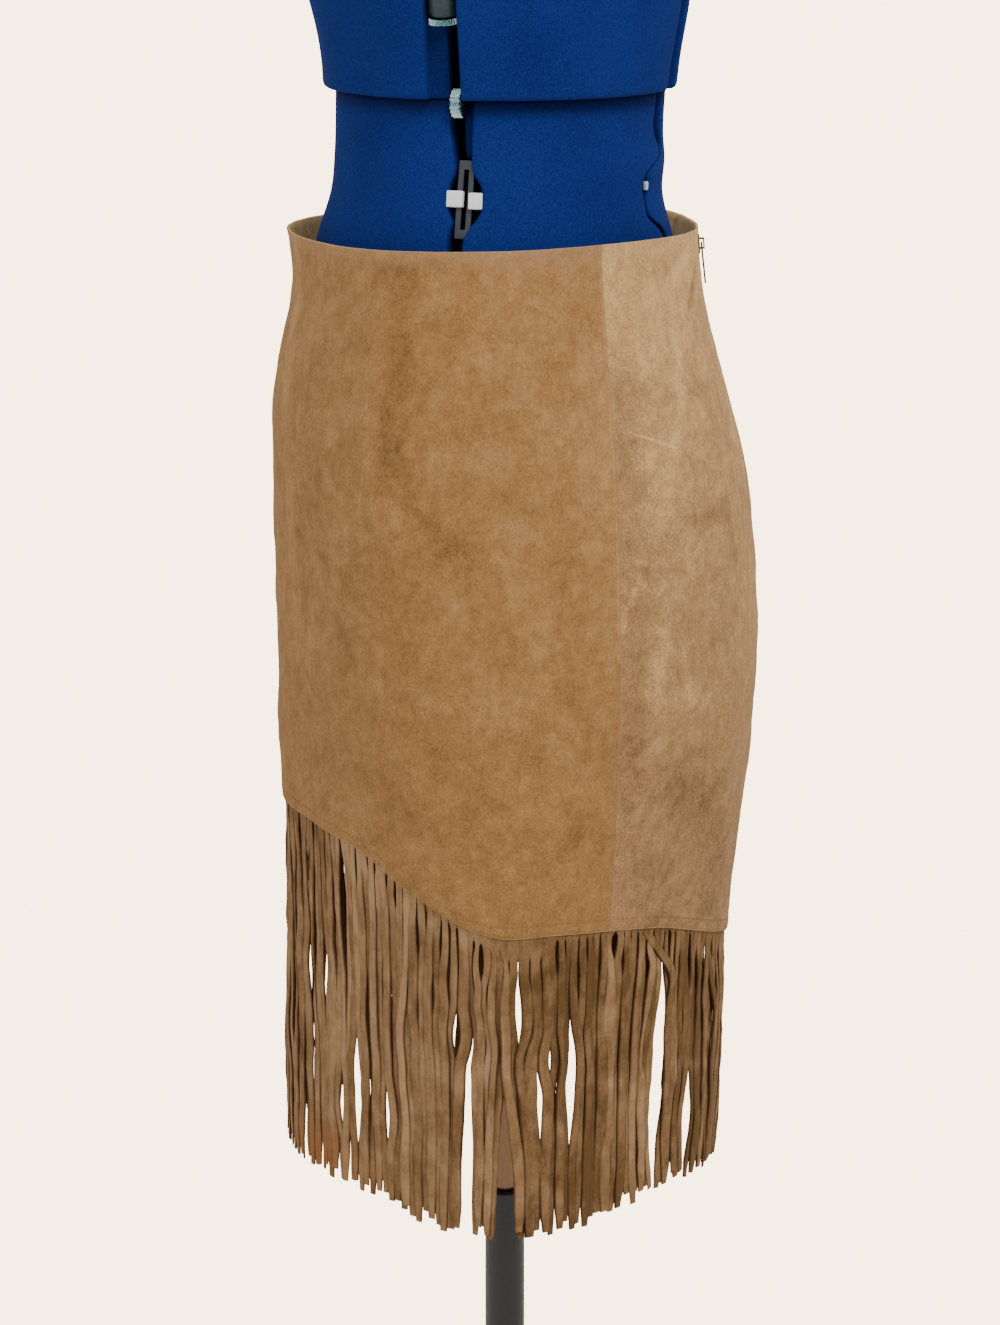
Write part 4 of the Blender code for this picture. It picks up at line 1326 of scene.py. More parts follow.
def geometry_tree(name, inputs):
    """A geometry node tree with a geometry in and out, and named inputs with their values."""
    tree = bpy.data.node_groups.new(name, "GeometryNodeTree")
    tree.interface.new_socket("Geometry", in_out="INPUT", socket_type="NodeSocketGeometry")
    tree.interface.new_socket("Geometry", in_out="OUTPUT", socket_type="NodeSocketGeometry")
    for socket, value in inputs.items():
        kind = {int: "Int", bpy.types.Material: "Material"}.get(type(value), "Float")
        made = tree.interface.new_socket(socket, in_out="INPUT", socket_type="NodeSocket" + kind)
        if kind != "Material":
            made.default_value = value
    return tree, node(tree, "NodeGroupInput").outputs


def point_field(tree, name, kind="FLOAT"):
    return node(tree, "GeometryNodeInputNamedAttribute", {"Name": name}, data_type=kind).outputs["Attribute"]


def stored(tree, geometry, name, value):
    """A geometry with a number kept for each of its points."""
    values = {"Geometry": geometry, "Name": name, "Value": value}
    return node(tree, "GeometryNodeStoreNamedAttribute", values, data_type="FLOAT", domain="POINT").outputs[0]


def finish_tree(tree, geometry, material, smooth=True):
    """The end of a tree: instances made real, shaded smooth if they are round, and given their finish."""
    made = node(tree, "GeometryNodeRealizeInstances", {"Geometry": geometry}).outputs[0]
    if smooth:
        made = node(tree, "GeometryNodeSetShadeSmooth", {"Geometry": made}).outputs[0]
    made = node(tree, "GeometryNodeSetMaterial", {"Geometry": made, "Material": material}).outputs[0]
    node(tree, "NodeGroupOutput", {"Geometry": made})
    return tree


def triple(tree, x, y=0.0, z=0.0):
    return node(tree, "ShaderNodeCombineXYZ", {0: x, 1: y, 2: z}).outputs[0]


def grown(name, guide, tree, inputs):
    """The plain mesh that a tree makes from a guide mesh, with the tree's inputs set."""
    holder = bpy.data.objects.new(name, guide)
    bpy.context.scene.collection.objects.link(holder)
    modifier = holder.modifiers.new(name, "NODES")
    modifier.node_group = tree
    for item in tree.interface.items_tree:
        if item.name in inputs:
            modifier[item.identifier] = inputs[item.name]
    graph = bpy.context.evaluated_depsgraph_get()
    seen = holder.evaluated_get(graph)
    mesh = bpy.data.meshes.new_from_object(seen, preserve_all_data_layers=True, depsgraph=graph)
    mesh.name = name
    bpy.data.objects.remove(holder)
    return mesh


def strand_tree(material):
    """Strands on their middle lines: a flat strip with rounded edges, turned to each point's face direction.

    The attribute across is how far a point is from its strand's middle, 1 at the cut edges; inside is 1 on
    the strand's reverse.
    """
    sizes = {"Width": PITCH, "Thickness": STRAND_THICKNESS, "Suede": material}
    tree, given = geometry_tree("suede_strands", sizes)
    line = node(tree, "GeometryNodeMeshToCurve", {"Mesh": given["Geometry"]}).outputs["Curve"]
    face = point_field(tree, "face", "FLOAT_VECTOR")
    girth = point_field(tree, "girth")
    line = node(tree, "GeometryNodeSetCurveNormal", {"Curve": line, "Normal": face}, mode="FREE").outputs[0]
    line = node(tree, "GeometryNodeSetCurveRadius", {"Curve": line, "Radius": girth}).outputs[0]
    ring = node(tree, "GeometryNodeCurvePrimitiveCircle", {"Resolution": 10, "Radius": 1.0}).outputs["Curve"]
    position = node(tree, "GeometryNodeInputPosition").outputs[0]
    spot = node(tree, "ShaderNodeSeparateXYZ", {0: position}).outputs
    section = []
    for axis, power, size in (("X", 0.35, given["Thickness"]), ("Y", 0.8, given["Width"])):
        flattened = math_of(tree, "POWER", math_of(tree, "ABSOLUTE", spot[axis]), power)
        flattened = times(tree, flattened, math_of(tree, "SIGN", spot[axis]))
        section.append(times(tree, times(tree, flattened, 0.5), size))
    values = {"Geometry": ring, "Position": triple(tree, *section)}
    ring = node(tree, "GeometryNodeSetPosition", values).outputs[0]
    half = times(tree, given["Width"], 0.5)
    across = math_of(tree, "ABSOLUTE", math_of(tree, "DIVIDE", spot["Y"], half))
    ring = stored(tree, ring, "across", across)
    values = {"Curve": line, "Profile Curve": ring, "Fill Caps": True, "Scale": girth}
    strip = node(tree, "GeometryNodeCurveToMesh", values)
    facing = vector_of(tree, "DOT_PRODUCT", node(tree, "GeometryNodeInputNormal").outputs[0], face)
    marked = stored(tree, strip.outputs[0], "inside", math_of(tree, "LESS_THAN", facing, -0.05))
    return finish_tree(tree, marked, given["Suede"])


def fringe_suede():
    """The fringe's suede: strands that differ a little in tone, with painted shade at their edges and on
    their reverse.
    """
    material = blank_material("fringe_suede")
    tree = material.node_tree
    nap_tone, nap_height = nap_of(tree, {"Patches": 1.3, "Mottles": 0.6, "Streaks": 0.9, "Fibre": 0.5})
    own = math_of(tree, "SUBTRACT", attribute(tree, "tone"), 0.5)
    tone = math_of(tree, "MULTIPLY_ADD", own, 0.9, nap_tone)
    # the strands' edges are darkened: painted shade between them
    edge = mapped(tree, attribute(tree, "across"), 0.6, 1.0, ease="SMOOTHSTEP")
    dim = times(tree, edge, math_of(tree, "MULTIPLY_ADD", attribute(tree, "shade"), 0.9, 0.05))
    face = mixed(tree, dim, ramp(tree, tone, FRINGE_FACE), FRINGE_EDGE_SHADE)
    face = mixed(tree, times(tree, attribute(tree, "stain"), 0.75), face, FRINGE_STAIN)
    values = {
        **SUEDE_SURFACE,
        "Base Color": mixed(tree, attribute(tree, "inside"), face, ramp(tree, tone, FRINGE_REVERSE_SHADE)),
        "Sheen Weight": 0.05,
        "Sheen Tint": (1.0, 0.7, 0.42, 1.0),
        "Normal": bump_of(tree, nap_height, 0.5, 0.0005),
    }
    return principled(material, values)


def joined(first, second):
    """Two objects made one."""
    with bpy.context.temp_override(active_object=first, selected_editable_objects=[first, second]):
        bpy.ops.object.join()
    return first


# the fringe's colours: the reverse and edge colours are painted shade inside the fringe and between its
# strands
FRINGE_FACE = ((0.05, (0.098, 0.051, 0.018)), (0.5, (0.206, 0.117, 0.054)), (0.95, (0.325, 0.203, 0.108)))
FRINGE_REVERSE_SHADE = ((0.05, (0.045, 0.018, 0.007)), (0.95, (0.12, 0.056, 0.022)))
FRINGE_EDGE_SHADE = (0.04, 0.014, 0.006)
FRINGE_STAIN = (0.22, 0.078, 0.022)
FRINGE_SUEDE = fringe_suede()
STRANDS = strand_tree(FRINGE_SUEDE)


def fringe(name, start, end, seed):
    band = bpy.data.objects.new(name + "_band", fringe_band(name, start, end))
    band.data.materials.append(FRINGE_SUEDE)
    phases = [math.degrees(math.atan2(point.co.x, -point.co.y)) for point in band.data.vertices]
    keep_field(band.data, "tone", 0.5 + np.interp(phases, *zip(*TONES)))
    guides = strand_guides(name, start, end, seed)
    strands_mesh = grown(name + "_strands", guides, STRANDS, {"Suede": FRINGE_SUEDE})
    strands = bpy.data.objects.new(name + "_strands", strands_mesh)
    for part in (band, strands):
        bpy.context.scene.collection.objects.link(part)
    strip = joined(band, strands)
    strip.name = name + "_strip"
    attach(strip, "stand_and_skirt")
    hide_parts(name)


BACK_START = 2 * SEAM_PHASE - SEAM_EDGE
BACK_END = 180 - math.degrees(SEAM_GAP / 2 / SKIRT[8].back)
fringe("front_fringe", -SEAM_EDGE, SEAM_EDGE, 11)
fringe("left_back_fringe", BACK_START, BACK_END, 12)
fringe("right_back_fringe", -BACK_END, -BACK_START, 13)

# ---------------------------------------------------------------------------------------------------------
# The stitching: one row of tan thread that holds the fringe strip behind the hem. Each stitch is a short
# bar of thread, bedded in the nap.

STITCH_PITCH = 0.0036
STITCH_LENGTH = 0.0026
THREAD = 0.00036
HEM_TO_STITCHES = 0.0065


def line_guide(name, points, out):
    """A mesh of edges through points, with each point's outward direction."""
    mesh = bpy.data.meshes.new(name)
    mesh.from_pydata(points.tolist(), [(n, n + 1) for n in range(len(points) - 1)], [])
    keep_field(mesh, "out", out)
    return mesh


def steps_along(tree, given):
    """Points at even steps along a guide's line, the line's directions there and the outward ones."""
    line = node(tree, "GeometryNodeMeshToCurve", {"Mesh": given["Geometry"]}).outputs["Curve"]
    steps = node(tree, "GeometryNodeCurveToPoints", {"Curve": line, "Length": given["Pitch"]}, mode="LENGTH")
    return steps.outputs["Points"], steps.outputs["Tangent"], point_field(tree, "out", "FLOAT_VECTOR")


def turned_to(tree, direction, axis, after=None, pivot_axis="AUTO"):
    """A rotation that brings an axis to a direction, after another rotation if one is given."""
    values = {"Vector": direction, **({"Rotation": after} if after else {})}
    made = node(tree, "FunctionNodeAlignRotationToVector", values, axis=axis, pivot_axis=pivot_axis)
    return made.outputs[0]


def stitch_tree(material):
    """Stitches at even steps along a line: each a short round-ended bar of thread that lies along it."""
    sizes = {"Pitch": STITCH_PITCH, "Length": STITCH_LENGTH, "Thread": THREAD, "Finish": material}
    tree, given = geometry_tree("row_of_stitches", sizes)
    places, along, out = steps_along(tree, given)
    lies = turned_to(tree, out, "Z", after=turned_to(tree, along, "X"), pivot_axis="X")
    bar = node(tree, "GeometryNodeMeshIcoSphere", {"Radius": 0.5, "Subdivisions": 1}).outputs["Mesh"]
    size = triple(tree, given["Length"], given["Thread"], given["Thread"])
    values = {"Points": places, "Instance": bar, "Rotation": lies, "Scale": size}
    stitches = node(tree, "GeometryNodeInstanceOnPoints", values).outputs[0]
    return finish_tree(tree, stitches, given["Finish"])


def plain_material(
    name, colour, roughness, variation=0.15, scale=400.0, metallic=0.0, bump=0.0, specular=0.4
):
    """A finish whose tone and roughness vary a little over the surface, with a fine bump if asked."""
    material = blank_material(name)
    tree = material.node_tree
    noise = noise_of(tree, object_place(tree), scale, 4.0)
    low = tuple(value * (1 - variation) for value in colour)
    high = tuple(min(1.0, value * (1 + variation)) for value in colour)
    values = {
        "Base Color": ramp(tree, noise, ((0.3, low), (0.7, high))),
        "Roughness": mapped(tree, noise, 0.3, 0.7, roughness * 0.85, min(1.0, roughness * 1.15)),
        "Metallic": metallic,
        "Specular IOR Level": specular,
    }
    if bump:
        values["Normal"] = bump_of(tree, noise, 0.4, bump)
    return principled(material, values)


THREAD_TAN = plain_material("tan_thread", (0.265, 0.14, 0.055), 0.9, 0.2, 900.0, bump=0.0002, specular=0.1)
STITCHES = stitch_tree(THREAD_TAN)


def hem_stitches(name, start, end):
    count = round(math.radians(end - start) * HIP / 0.004)
    phase = np.linspace(start, end, count)
    drop = hem_drop(phase) - HEM_TO_STITCHES
    out = skirt_out(phase, drop)
    points = skirt_point(phase, drop) + out * THREAD * 0.12
    mesh = grown(name, line_guide(name, points, out), STITCHES, {"Finish": THREAD_TAN})
    return add_piece(name, mesh, THREAD_TAN)


hem_stitches("front_hem_stitches", -SEAM_EDGE + 0.6, SEAM_EDGE - 0.6)
hem_stitches("left_back_hem_stitches", BACK_START + 0.6, BACK_END - 1.0)
hem_stitches("right_back_hem_stitches", -BACK_END + 1.0, -BACK_START - 0.6)

# ---------------------------------------------------------------------------------------------------------
# The zip at centre back: brown woven tape behind the opening, two rows of brass teeth pressed onto its
# edges, and a slider with a hanging pull tab at the top.

TAPE_WIDTH, TAPE_THICKNESS = 0.024, 0.0008
TAPE_BEHIND = 0.0005
TOOTH_PITCH = 0.0025
TOOTH = (0.0026, 0.0011, 0.0013)  # across the zip, along it and through it
TOOTH_HEAD = (0.42, 1.35, 1.15)  # the size of a tooth's hooked head, as shares of the tooth's
TEETH_START, TEETH_END = 0.0165, 0.1655


def woven_group():
    """A plain weave on the pattern map: a height that rises over each crossing thread."""
    tree, given = group_tree("woven_cloth", {"Thread": 0.0006}, {"Height": "NodeSocketFloat"})
    axes = node(tree, "ShaderNodeSeparateXYZ", {0: pattern_place(tree)}).outputs
    waves = []
    for axis in ("X", "Y"):
        turns = math_of(tree, "DIVIDE", axes[axis], given["Thread"])
        waves.append(math_of(tree, "SINE", times(tree, turns, math.pi)))
    crossing = times(tree, *waves)
    node(tree, "NodeGroupOutput", {"Height": math_of(tree, "MULTIPLY_ADD", crossing, 0.5, 0.5)})
    return tree


WOVEN = woven_group()


def zip_cloth():
    material = blank_material("zip_cloth")
    tree = material.node_tree
    weave = node(tree, "ShaderNodeGroup", node_tree=WOVEN).outputs["Height"]
    values = {
        "Base Color": ramp(tree, weave, ((0.1, (0.062, 0.034, 0.015)), (0.9, (0.13, 0.074, 0.034)))),
        "Roughness": 0.85,
        "Specular IOR Level": 0.2,
        "Sheen Weight": 0.15,
        "Normal": bump_of(tree, weave, 0.6, 0.0003),
    }
    return principled(material, values)


def zip_tape():
    offsets = spread(TAPE_WIDTH / 2, -TAPE_WIDTH / 2, 0.0015, 0.0004)
    drops = spread(ZIP_TOP, ZIP_TOP + ZIP_LENGTH, 0.003, 0.0005)
    offset, drop = np.meshgrid(offsets, drops, indexing="ij")
    phase = 180 - np.degrees(offset / reach(SKIRT, np.full_like(drop, 180.0), drop))
    outer, out = under_skirt(phase, drop, np.full_like(drop, SUEDE + TAPE_BEHIND))
    mesh = cloth_wall("zip_tape", phase, drop, outer, out, TAPE_THICKNESS)
    return add_piece("zip_tape_woven", mesh, zip_cloth(), replaces=["zip_tape"])


def teeth_tree(material):
    """Teeth at even steps along a line, turned outwards and set to its two sides by turns."""
    sizes = dict(zip(("Across", "Along", "Through"), TOOTH))
    tree, given = geometry_tree("zip_teeth", {"Pitch": TOOTH_PITCH / 2, **sizes, "Finish": material})
    places, _, out = steps_along(tree, given)
    faces_out = turned_to(tree, out, "Z", pivot_axis="X")
    size = triple(tree, given["Across"], given["Along"], given["Through"])
    parity = math_of(tree, "MODULO", node(tree, "GeometryNodeInputIndex").outputs[0], 2.0)
    side = math_of(tree, "MULTIPLY_ADD", parity, 2.0, -1.0)
    together = node(tree, "GeometryNodeJoinGeometry")
    for part_size, aside in ((size, 0.36), (vector_of(tree, "MULTIPLY", size, TOOTH_HEAD), 0.1)):
        part = node(tree, "GeometryNodeMeshCube", {"Size": part_size})
        to_side = times(tree, times(tree, side, given["Across"]), aside)
        values = {"Geometry": places, "Offset": triple(tree, to_side)}
        moved = node(tree, "GeometryNodeSetPosition", values).outputs[0]
        values = {"Points": moved, "Instance": part.outputs["Mesh"], "Rotation": faces_out}
        tree.links.new(node(tree, "GeometryNodeInstanceOnPoints", values).outputs[0], together.inputs[0])
    return finish_tree(tree, together.outputs[0], given["Finish"], smooth=False)


def worn_brass():
    """Old brass: darkened in patches, brighter where it is rubbed."""
    material = blank_material("old_brass")
    tree = material.node_tree
    noise = noise_of(tree, object_place(tree), 420.0, 5.0)
    values = {
        "Base Color": ramp(tree, noise, ((0.35, (0.085, 0.052, 0.02)), (0.66, (0.28, 0.18, 0.07)))),
        "Roughness": mapped(tree, noise, 0.0, 1.0, 0.74, 0.56),
        "Metallic": 1.0,
        "Specular Tint": (0.16, 0.1, 0.045, 1.0),
        "Normal": bump_of(tree, noise, 0.3, 0.0001),
    }
    return principled(material, values)


def zip_teeth(material):
    drop = np.linspace(TEETH_START, TEETH_END, 40)
    inset = SUEDE + TAPE_BEHIND - TOOTH[2] * 0.4
    points, out = under_skirt(np.full_like(drop, 180.0), drop, np.full_like(drop, inset))
    guide = line_guide("zip_line", points, out)
    mesh = grown("zip_teeth", guide, teeth_tree(material), {"Finish": material})
    return add_piece("zip_teeth", mesh, material, replaces=["zip_chain"])


def refinish(name, material):
    """Gives a CAD node that stays its finish."""
    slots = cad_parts[name].data.materials
    slots.clear()
    slots.append(material)


OLD_BRASS = worn_brass()
zip_tape()
zip_teeth(OLD_BRASS)
refinish("zip_slider", OLD_BRASS)
refinish("zip_pull", OLD_BRASS)

# ---------------------------------------------------------------------------------------------------------
# The dress form: a torso shell that overlaps a waist and hip shell, both covered in blue felted cloth and
# each cut into four panels. The gaps between the panels let the form be widened; their insides are painted
# black as shade, and a painted shadow darkens the cloth below the torso shell's edge.

FORM_LOWER = table_of(
    Section,
    (-0.0752, 0.0908, 0.0865, 0.124, 2.1),
    (-0.05, 0.0913, 0.0855, 0.123, 2.1),
    (-0.038, 0.092, 0.0862, 0.1236, 2.1),
    (-0.02, 0.094, 0.085, 0.126, 2.05),
    (0.0, 0.1, 0.0893, 0.1325, 2.0),
    (0.025, 0.107, 0.0965, 0.142, 2.0),
    (0.06, 0.1178, 0.1085, 0.155, 2.0),
    (0.095, 0.1228, 0.1175, 0.1635, 2.0),
    (0.13, 0.1239, 0.1262, 0.1695, 1.95),
    (0.18, 0.123, 0.133, 0.1755, 1.85),
    (0.225, 0.122, 0.1355, 0.1785, 1.75),
    (0.26, 0.119, 0.1315, 0.177, 1.75),
    (0.276, 0.112, 0.1235, 0.17, 1.8),
    (0.285, 0.099, 0.11, 0.157, 1.9),
)
FORM_UPPER = table_of(
    Section,
    (-0.53, 0.055, 0.059, 0.057, 2.0),
    (-0.485, 0.056, 0.064, 0.059, 2.0),
    (-0.462, 0.059, 0.072, 0.07, 2.0),
    (-0.448, 0.064, 0.08, 0.094, 2.0),
    (-0.435, 0.07, 0.087, 0.123, 2.05),
    (-0.418, 0.077, 0.096, 0.15, 2.1),
    (-0.395, 0.085, 0.104, 0.165, 2.15),
    (-0.355, 0.098, 0.111, 0.166, 2.2),
    (-0.31, 0.1165, 0.113, 0.16, 2.2),
    (-0.27, 0.1338, 0.111, 0.157, 2.15),
    (-0.235, 0.14, 0.108, 0.156, 2.1),
    (-0.2, 0.1343, 0.106, 0.152, 2.1),
    (-0.16, 0.1188, 0.103, 0.145, 2.1),
    (-0.12, 0.105, 0.099, 0.139, 2.1),
    (-0.09, 0.0988, 0.094, 0.1335, 2.1),
    (-0.0755, 0.0976, 0.0925, 0.1312, 2.1),
)

# A gap's middle and half its width at each drop. Its inside is painted black as shade, but for a shelf of the
# cloth beneath over a share of its width, from the low side or, below zero, from the high one, between two
# drops.
Gap = namedtuple("Gap", "drop phase half")
FormGap = namedtuple("FormGap", "rows shelf shelf_top shelf_foot", defaults=(0.0, 0.0, 0.0))
SIDE_GAP = table_of(
    Gap,
    (-0.0752, 79.6, 0.0062),
    (-0.06, 79.2, 0.0058),
    (-0.048, 79.5, 0.005),
    (-0.038, 79.9, 0.005),
    (-0.0355, 80.0, 0.006),
    (-0.0325, 80.1, 0.0078),
    (-0.0285, 80.2, 0.0091),
    (-0.024, 80.2, 0.0095),
    (-0.019, 80.2, 0.009),
    (-0.015, 80.1, 0.0074),
    (-0.012, 79.9, 0.0056),
    (-0.0095, 79.3, 0.005),
    (0.02, 79.0, 0.0048),
    (0.26, 79.0, 0.004),
)
BACK_GAP = table_of(
    Gap,
    (-0.0752, 153.5, 0.0062),
    (-0.052, 153.5, 0.0062),
    (-0.045, 157.0, 0.004),
    (-0.04, 154.0, 0.0026),
    (-0.034, 142.5, 0.0022),
    (-0.026, 140.4, 0.0034),
    (-0.018, 140.2, 0.0016),
    (-0.009, 142.0, 0.0018),
    (-0.002, 151.0, 0.0034),
    (0.02, 154.0, 0.004),
    (0.26, 154.0, 0.004),
)
FRONT_GAP = table_of(Gap, (-0.0752, 348.0, 0.005), (0.01, 348.0, 0.0046), (0.26, 348.0, 0.004))
FAR_GAP = table_of(Gap, (-0.0752, 258.0, 0.0055), (0.01, 258.0, 0.005), (0.26, 258.0, 0.004))
LOWER_GAPS = (
    FormGap(SIDE_GAP, -0.42, -0.0752, -0.044),
    FormGap(BACK_GAP),
    FormGap(FAR_GAP),
    FormGap(FRONT_GAP),
)
UPPER_GAPS = (
    FormGap(table_of(Gap, (-0.44, 77.0, 0.006), (-0.2, 75.5, 0.0088), (-0.0755, 75.6, 0.0094)), 0.62, -0.118),
    FormGap(table_of(Gap, (-0.44, 158.0, 0.005), (-0.13, 157.0, 0.0088), (-0.0755, 155.0, 0.0088))),
    FormGap(table_of(Gap, (-0.44, 258.0, 0.006), (-0.0755, 258.0, 0.0085)), 0.62, -0.118),
    FormGap(table_of(Gap, (-0.44, 348.0, 0.005), (-0.0755, 348.0, 0.006))),
)
SHELF_DEPTH, GAP_DEPTH = 0.007, 0.018
FORM_ROLL, FORM_ROLL_REACH = 0.0014, 0.0007  # how far a shell's edges roll in, and over what depth
FORM_RIPPLES = Ripples(0.0003, 0.05, 10, 9)
PANEL_STEPS = 34  # columns of points across one of a shell's panels
# the painted shadow below the torso shell's edge reaches this far down the lower shell's cloth
SHADE_REACH = 0.0125  # how far below the upper shell's edge the lower one's cloth is kept from the light

# Across a gap: which edge a column is measured from (-1 and 1) or its inner line (0), how far beyond it lies,
# how deep it is, and whether the floor there is the low side's (-1), the high side's (1) or none (0).
Across = namedtuple("Across", "edge beyond depth floor")
GAP_PROFILE = table_of(
    Across,
    (-1, -0.0035, 0.0, 0),
    (-1, -0.0012, 0.0002, 0),
    (-1, -0.0003, 0.0008, 0),
    (-1, 0.0, 0.002, 0),
    (-1, 0.0003, 0.0, -1),
    (0, -0.0002, 0.0, -1),
    (0, 0.0002, 0.0, 1),
    (1, -0.0003, 0.0, 1),
    (1, 0.0, 0.002, 0),
    (1, 0.0003, 0.0008, 0),
    (1, 0.0012, 0.0002, 0),
    (1, 0.0035, 0.0, 0),
)


def form_columns(sections, gaps, drops):
    """Columns of points round a shell: their phases, depths under its face and how far painted shade blackens
    them.
    """
    columns = []
    middles = [eased(gap.rows, np.clip(drops, gap.rows[0].drop, gap.rows[-1].drop)) for gap in gaps]
    for number, gap in enumerate(gaps):
        _, middle, half = middles[number]
        radius = reach(sections, middle, drops)
        is_open = np.where(drops < gap.rows[0].drop, 0.0, 1.0)
        shelved = (drops > gap.shelf_top) & ((drops < gap.shelf_foot) | (gap.shelf >= 0))
        split = (2 * gap.shelf - np.sign(gap.shelf)) * half
        for column in GAP_PROFILE:
            sideways = (column.edge * half if column.edge else split) + column.beyond
            on_shelf = shelved & (column.floor * gap.shelf < 0)
            depth = np.where(on_shelf, SHELF_DEPTH, GAP_DEPTH) if column.floor else column.depth
            # a gap's floor is painted black as shade, but not on the shelf
            black = np.where(on_shelf, 0.0, 1.0) if column.floor else 0.0
            columns.append((middle + np.degrees(sideways / radius), is_open * depth, is_open * black))
        _, following, half_following = middles[(number + 1) % len(gaps)]
        end = following + (360 if number == len(gaps) - 1 else 0)
        end = end - np.degrees((half_following + GAP_PROFILE[-1].beyond) / radius)
        start = columns[-1][0]
        for step in range(1, PANEL_STEPS):
            nothing = np.zeros_like(drops)
            columns.append((start + (end - start) * step / PANEL_STEPS, nothing, nothing))
    return np.array(columns).transpose(1, 0, 2)


def form_shell(name, sections, gaps, drops, material, painted_shadow=0.0):
    """A closed shell through its sections with its gaps cut in; the last argument darkens its top edge as
    painted shadow.
    """
    phase, depth, black = form_columns(sections, gaps, drops)
    drop = np.broadcast_to(drops, phase.shape)
    lip = np.minimum(drop - drops[0], drops[-1] - drop)
    rolled = FORM_ROLL * np.exp(-lip / FORM_ROLL_REACH)
    radius = reach(sections, phase, drop) - depth - rolled + ripple(phase, drop, FORM_RIPPLES)
    points = around(radius, phase, drop)
    index = np.arange(phase.size).reshape(phase.shape)
    closing = np.stack([index[-1, :-1], index[-1, 1:], index[0, 1:], index[0, :-1]], axis=-1)
    ends = index[:, 0].tolist(), index[::-1, -1].tolist()
    mesh = bpy.data.meshes.new(name)
    faces = [*grid_faces(*phase.shape).tolist(), *closing.tolist(), *ends]
    mesh.from_pydata(points.reshape(-1, 3).tolist(), [], faces)
    mesh.shade_smooth()
    keep_field(mesh, "black", black)
    # a painted shadow below the shell above
    shade = painted_shadow * smooth_step(drop, drops[0] + SHADE_REACH, drops[0])
    keep_field(mesh, "deep", np.minimum(depth / GAP_DEPTH + shade, 1.0))
    return add_piece(name + "_cover", mesh, material, replaces=[name])


def form_cloth():
    """Blue felted knit: a fine pebbled nap, slow patches, a few pale specks of lint, and painted shade in its
    gaps and below the torso shell.
    """
    material = blank_material("form_cloth")
    tree = material.node_tree
    place = object_place(tree)
    fine = noise_of(tree, place, 900.0, 2.0)
    slow = noise_of(tree, place, 16.0, 4.0)
    pills, lint = (
        node(tree, "ShaderNodeTexVoronoi", {"Vector": place, "Scale": scale}).outputs["Distance"]
        for scale in (520.0, 30.0)
    )
    slow = math_of(tree, "MULTIPLY_ADD", math_of(tree, "SUBTRACT", slow, 0.5), 0.5, 0.5)
    tone = math_of(tree, "MULTIPLY_ADD", math_of(tree, "SUBTRACT", fine, 0.5), 1.1, slow)
    cloth = ramp(tree, tone, ((0.25, (0.005, 0.014, 0.1)), (0.75, (0.009, 0.028, 0.18))))
    speck = times(tree, math_of(tree, "LESS_THAN", lint, 0.022), 0.5)
    cloth = mixed(tree, speck, cloth, (0.3, 0.33, 0.4))
    # painted shade deeper in the gaps, and the painted shadow below the torso shell
    cloth = mixed(tree, attribute(tree, "deep"), cloth, (0.0025, 0.005, 0.035))
    values = {
        # the gaps' insides are painted black as shade
        "Base Color": mixed(tree, attribute(tree, "black"), cloth, (0.003, 0.0036, 0.01)),
        "Roughness": 0.95,
        "Specular IOR Level": 0.04,
        "Sheen Weight": 0.02,
        "Sheen Roughness": 0.6,
        "Sheen Tint": (0.1, 0.25, 1.0, 1.0),
        "Normal": bump_of(tree, math_of(tree, "MULTIPLY_ADD", pills, 0.5, fine), 0.5, 0.0004),
    }
    return principled(material, values)


def drops_between(*spans):
    """Drops down a shell from spans of (start, end, step)."""
    parts = []
    for start, end, step in spans:
        parts.append(np.linspace(start, end, max(1, round((end - start) / step)), endpoint=False))
    return np.concatenate([*parts, [spans[-1][1]]])


BLUE = form_cloth()
UPPER_DROPS = drops_between(
    (-0.53, -0.4405, 0.008),
    (-0.4405, -0.439, 0.0005),
    (-0.439, -0.119, 0.008),
    (-0.119, -0.117, 0.0005),
    (-0.117, -0.082, 0.005),
    (-0.082, -0.0755, 0.0007),
)
LOWER_DROPS = drops_between(
    (-0.0752, -0.072, 0.0007),
    (-0.072, 0.012, 0.0014),
    (0.012, 0.28, 0.01),
    (0.28, 0.285, 0.001),
)
form_shell("form_upper", FORM_UPPER, UPPER_GAPS, UPPER_DROPS, BLUE)
# the waist and hip shell's top edge gets a painted shadow from the torso shell
form_shell("form_lower", FORM_LOWER, LOWER_GAPS, LOWER_DROPS, BLUE, 0.85)

# ---------------------------------------------------------------------------------------------------------
# The form's adjusters: a grey slotted slide between two white blocks across the gap at the waist, knurled
# metal wheels, the drum of one of them, and a small bead beside the back gap.


def local_axes(sections, phase, drop):
    """The middle of a shell's face at a place, with the directions round it, up it and out of it."""
    def on_shell(at_phase, at_drop):
        at = np.array(float(at_phase)), np.array(float(at_drop))
        return Vector(around(reach(sections, *at), *at).tolist())

    place = on_shell(phase, drop)
    up = (on_shell(phase, drop - 0.003) - on_shell(phase, drop + 0.003)).normalized()
    aside = (on_shell(phase + 1, drop) - on_shell(phase - 1, drop)).normalized()
    out = aside.cross(up).normalized()
    return place, aside, out.cross(aside).normalized(), out


def rounded_block(name, size, bevel):
    """A block with rounded edges; its size is across, up and through."""
    body = bmesh.new()
    bmesh.ops.create_cube(body, size=1.0)
    bmesh.ops.scale(body, vec=size, verts=body.verts)
    bmesh.ops.bevel(body, geom=body.edges[:], offset=bevel, segments=3, affect="EDGES", profile=0.6)
    return mesh_of(name, body)


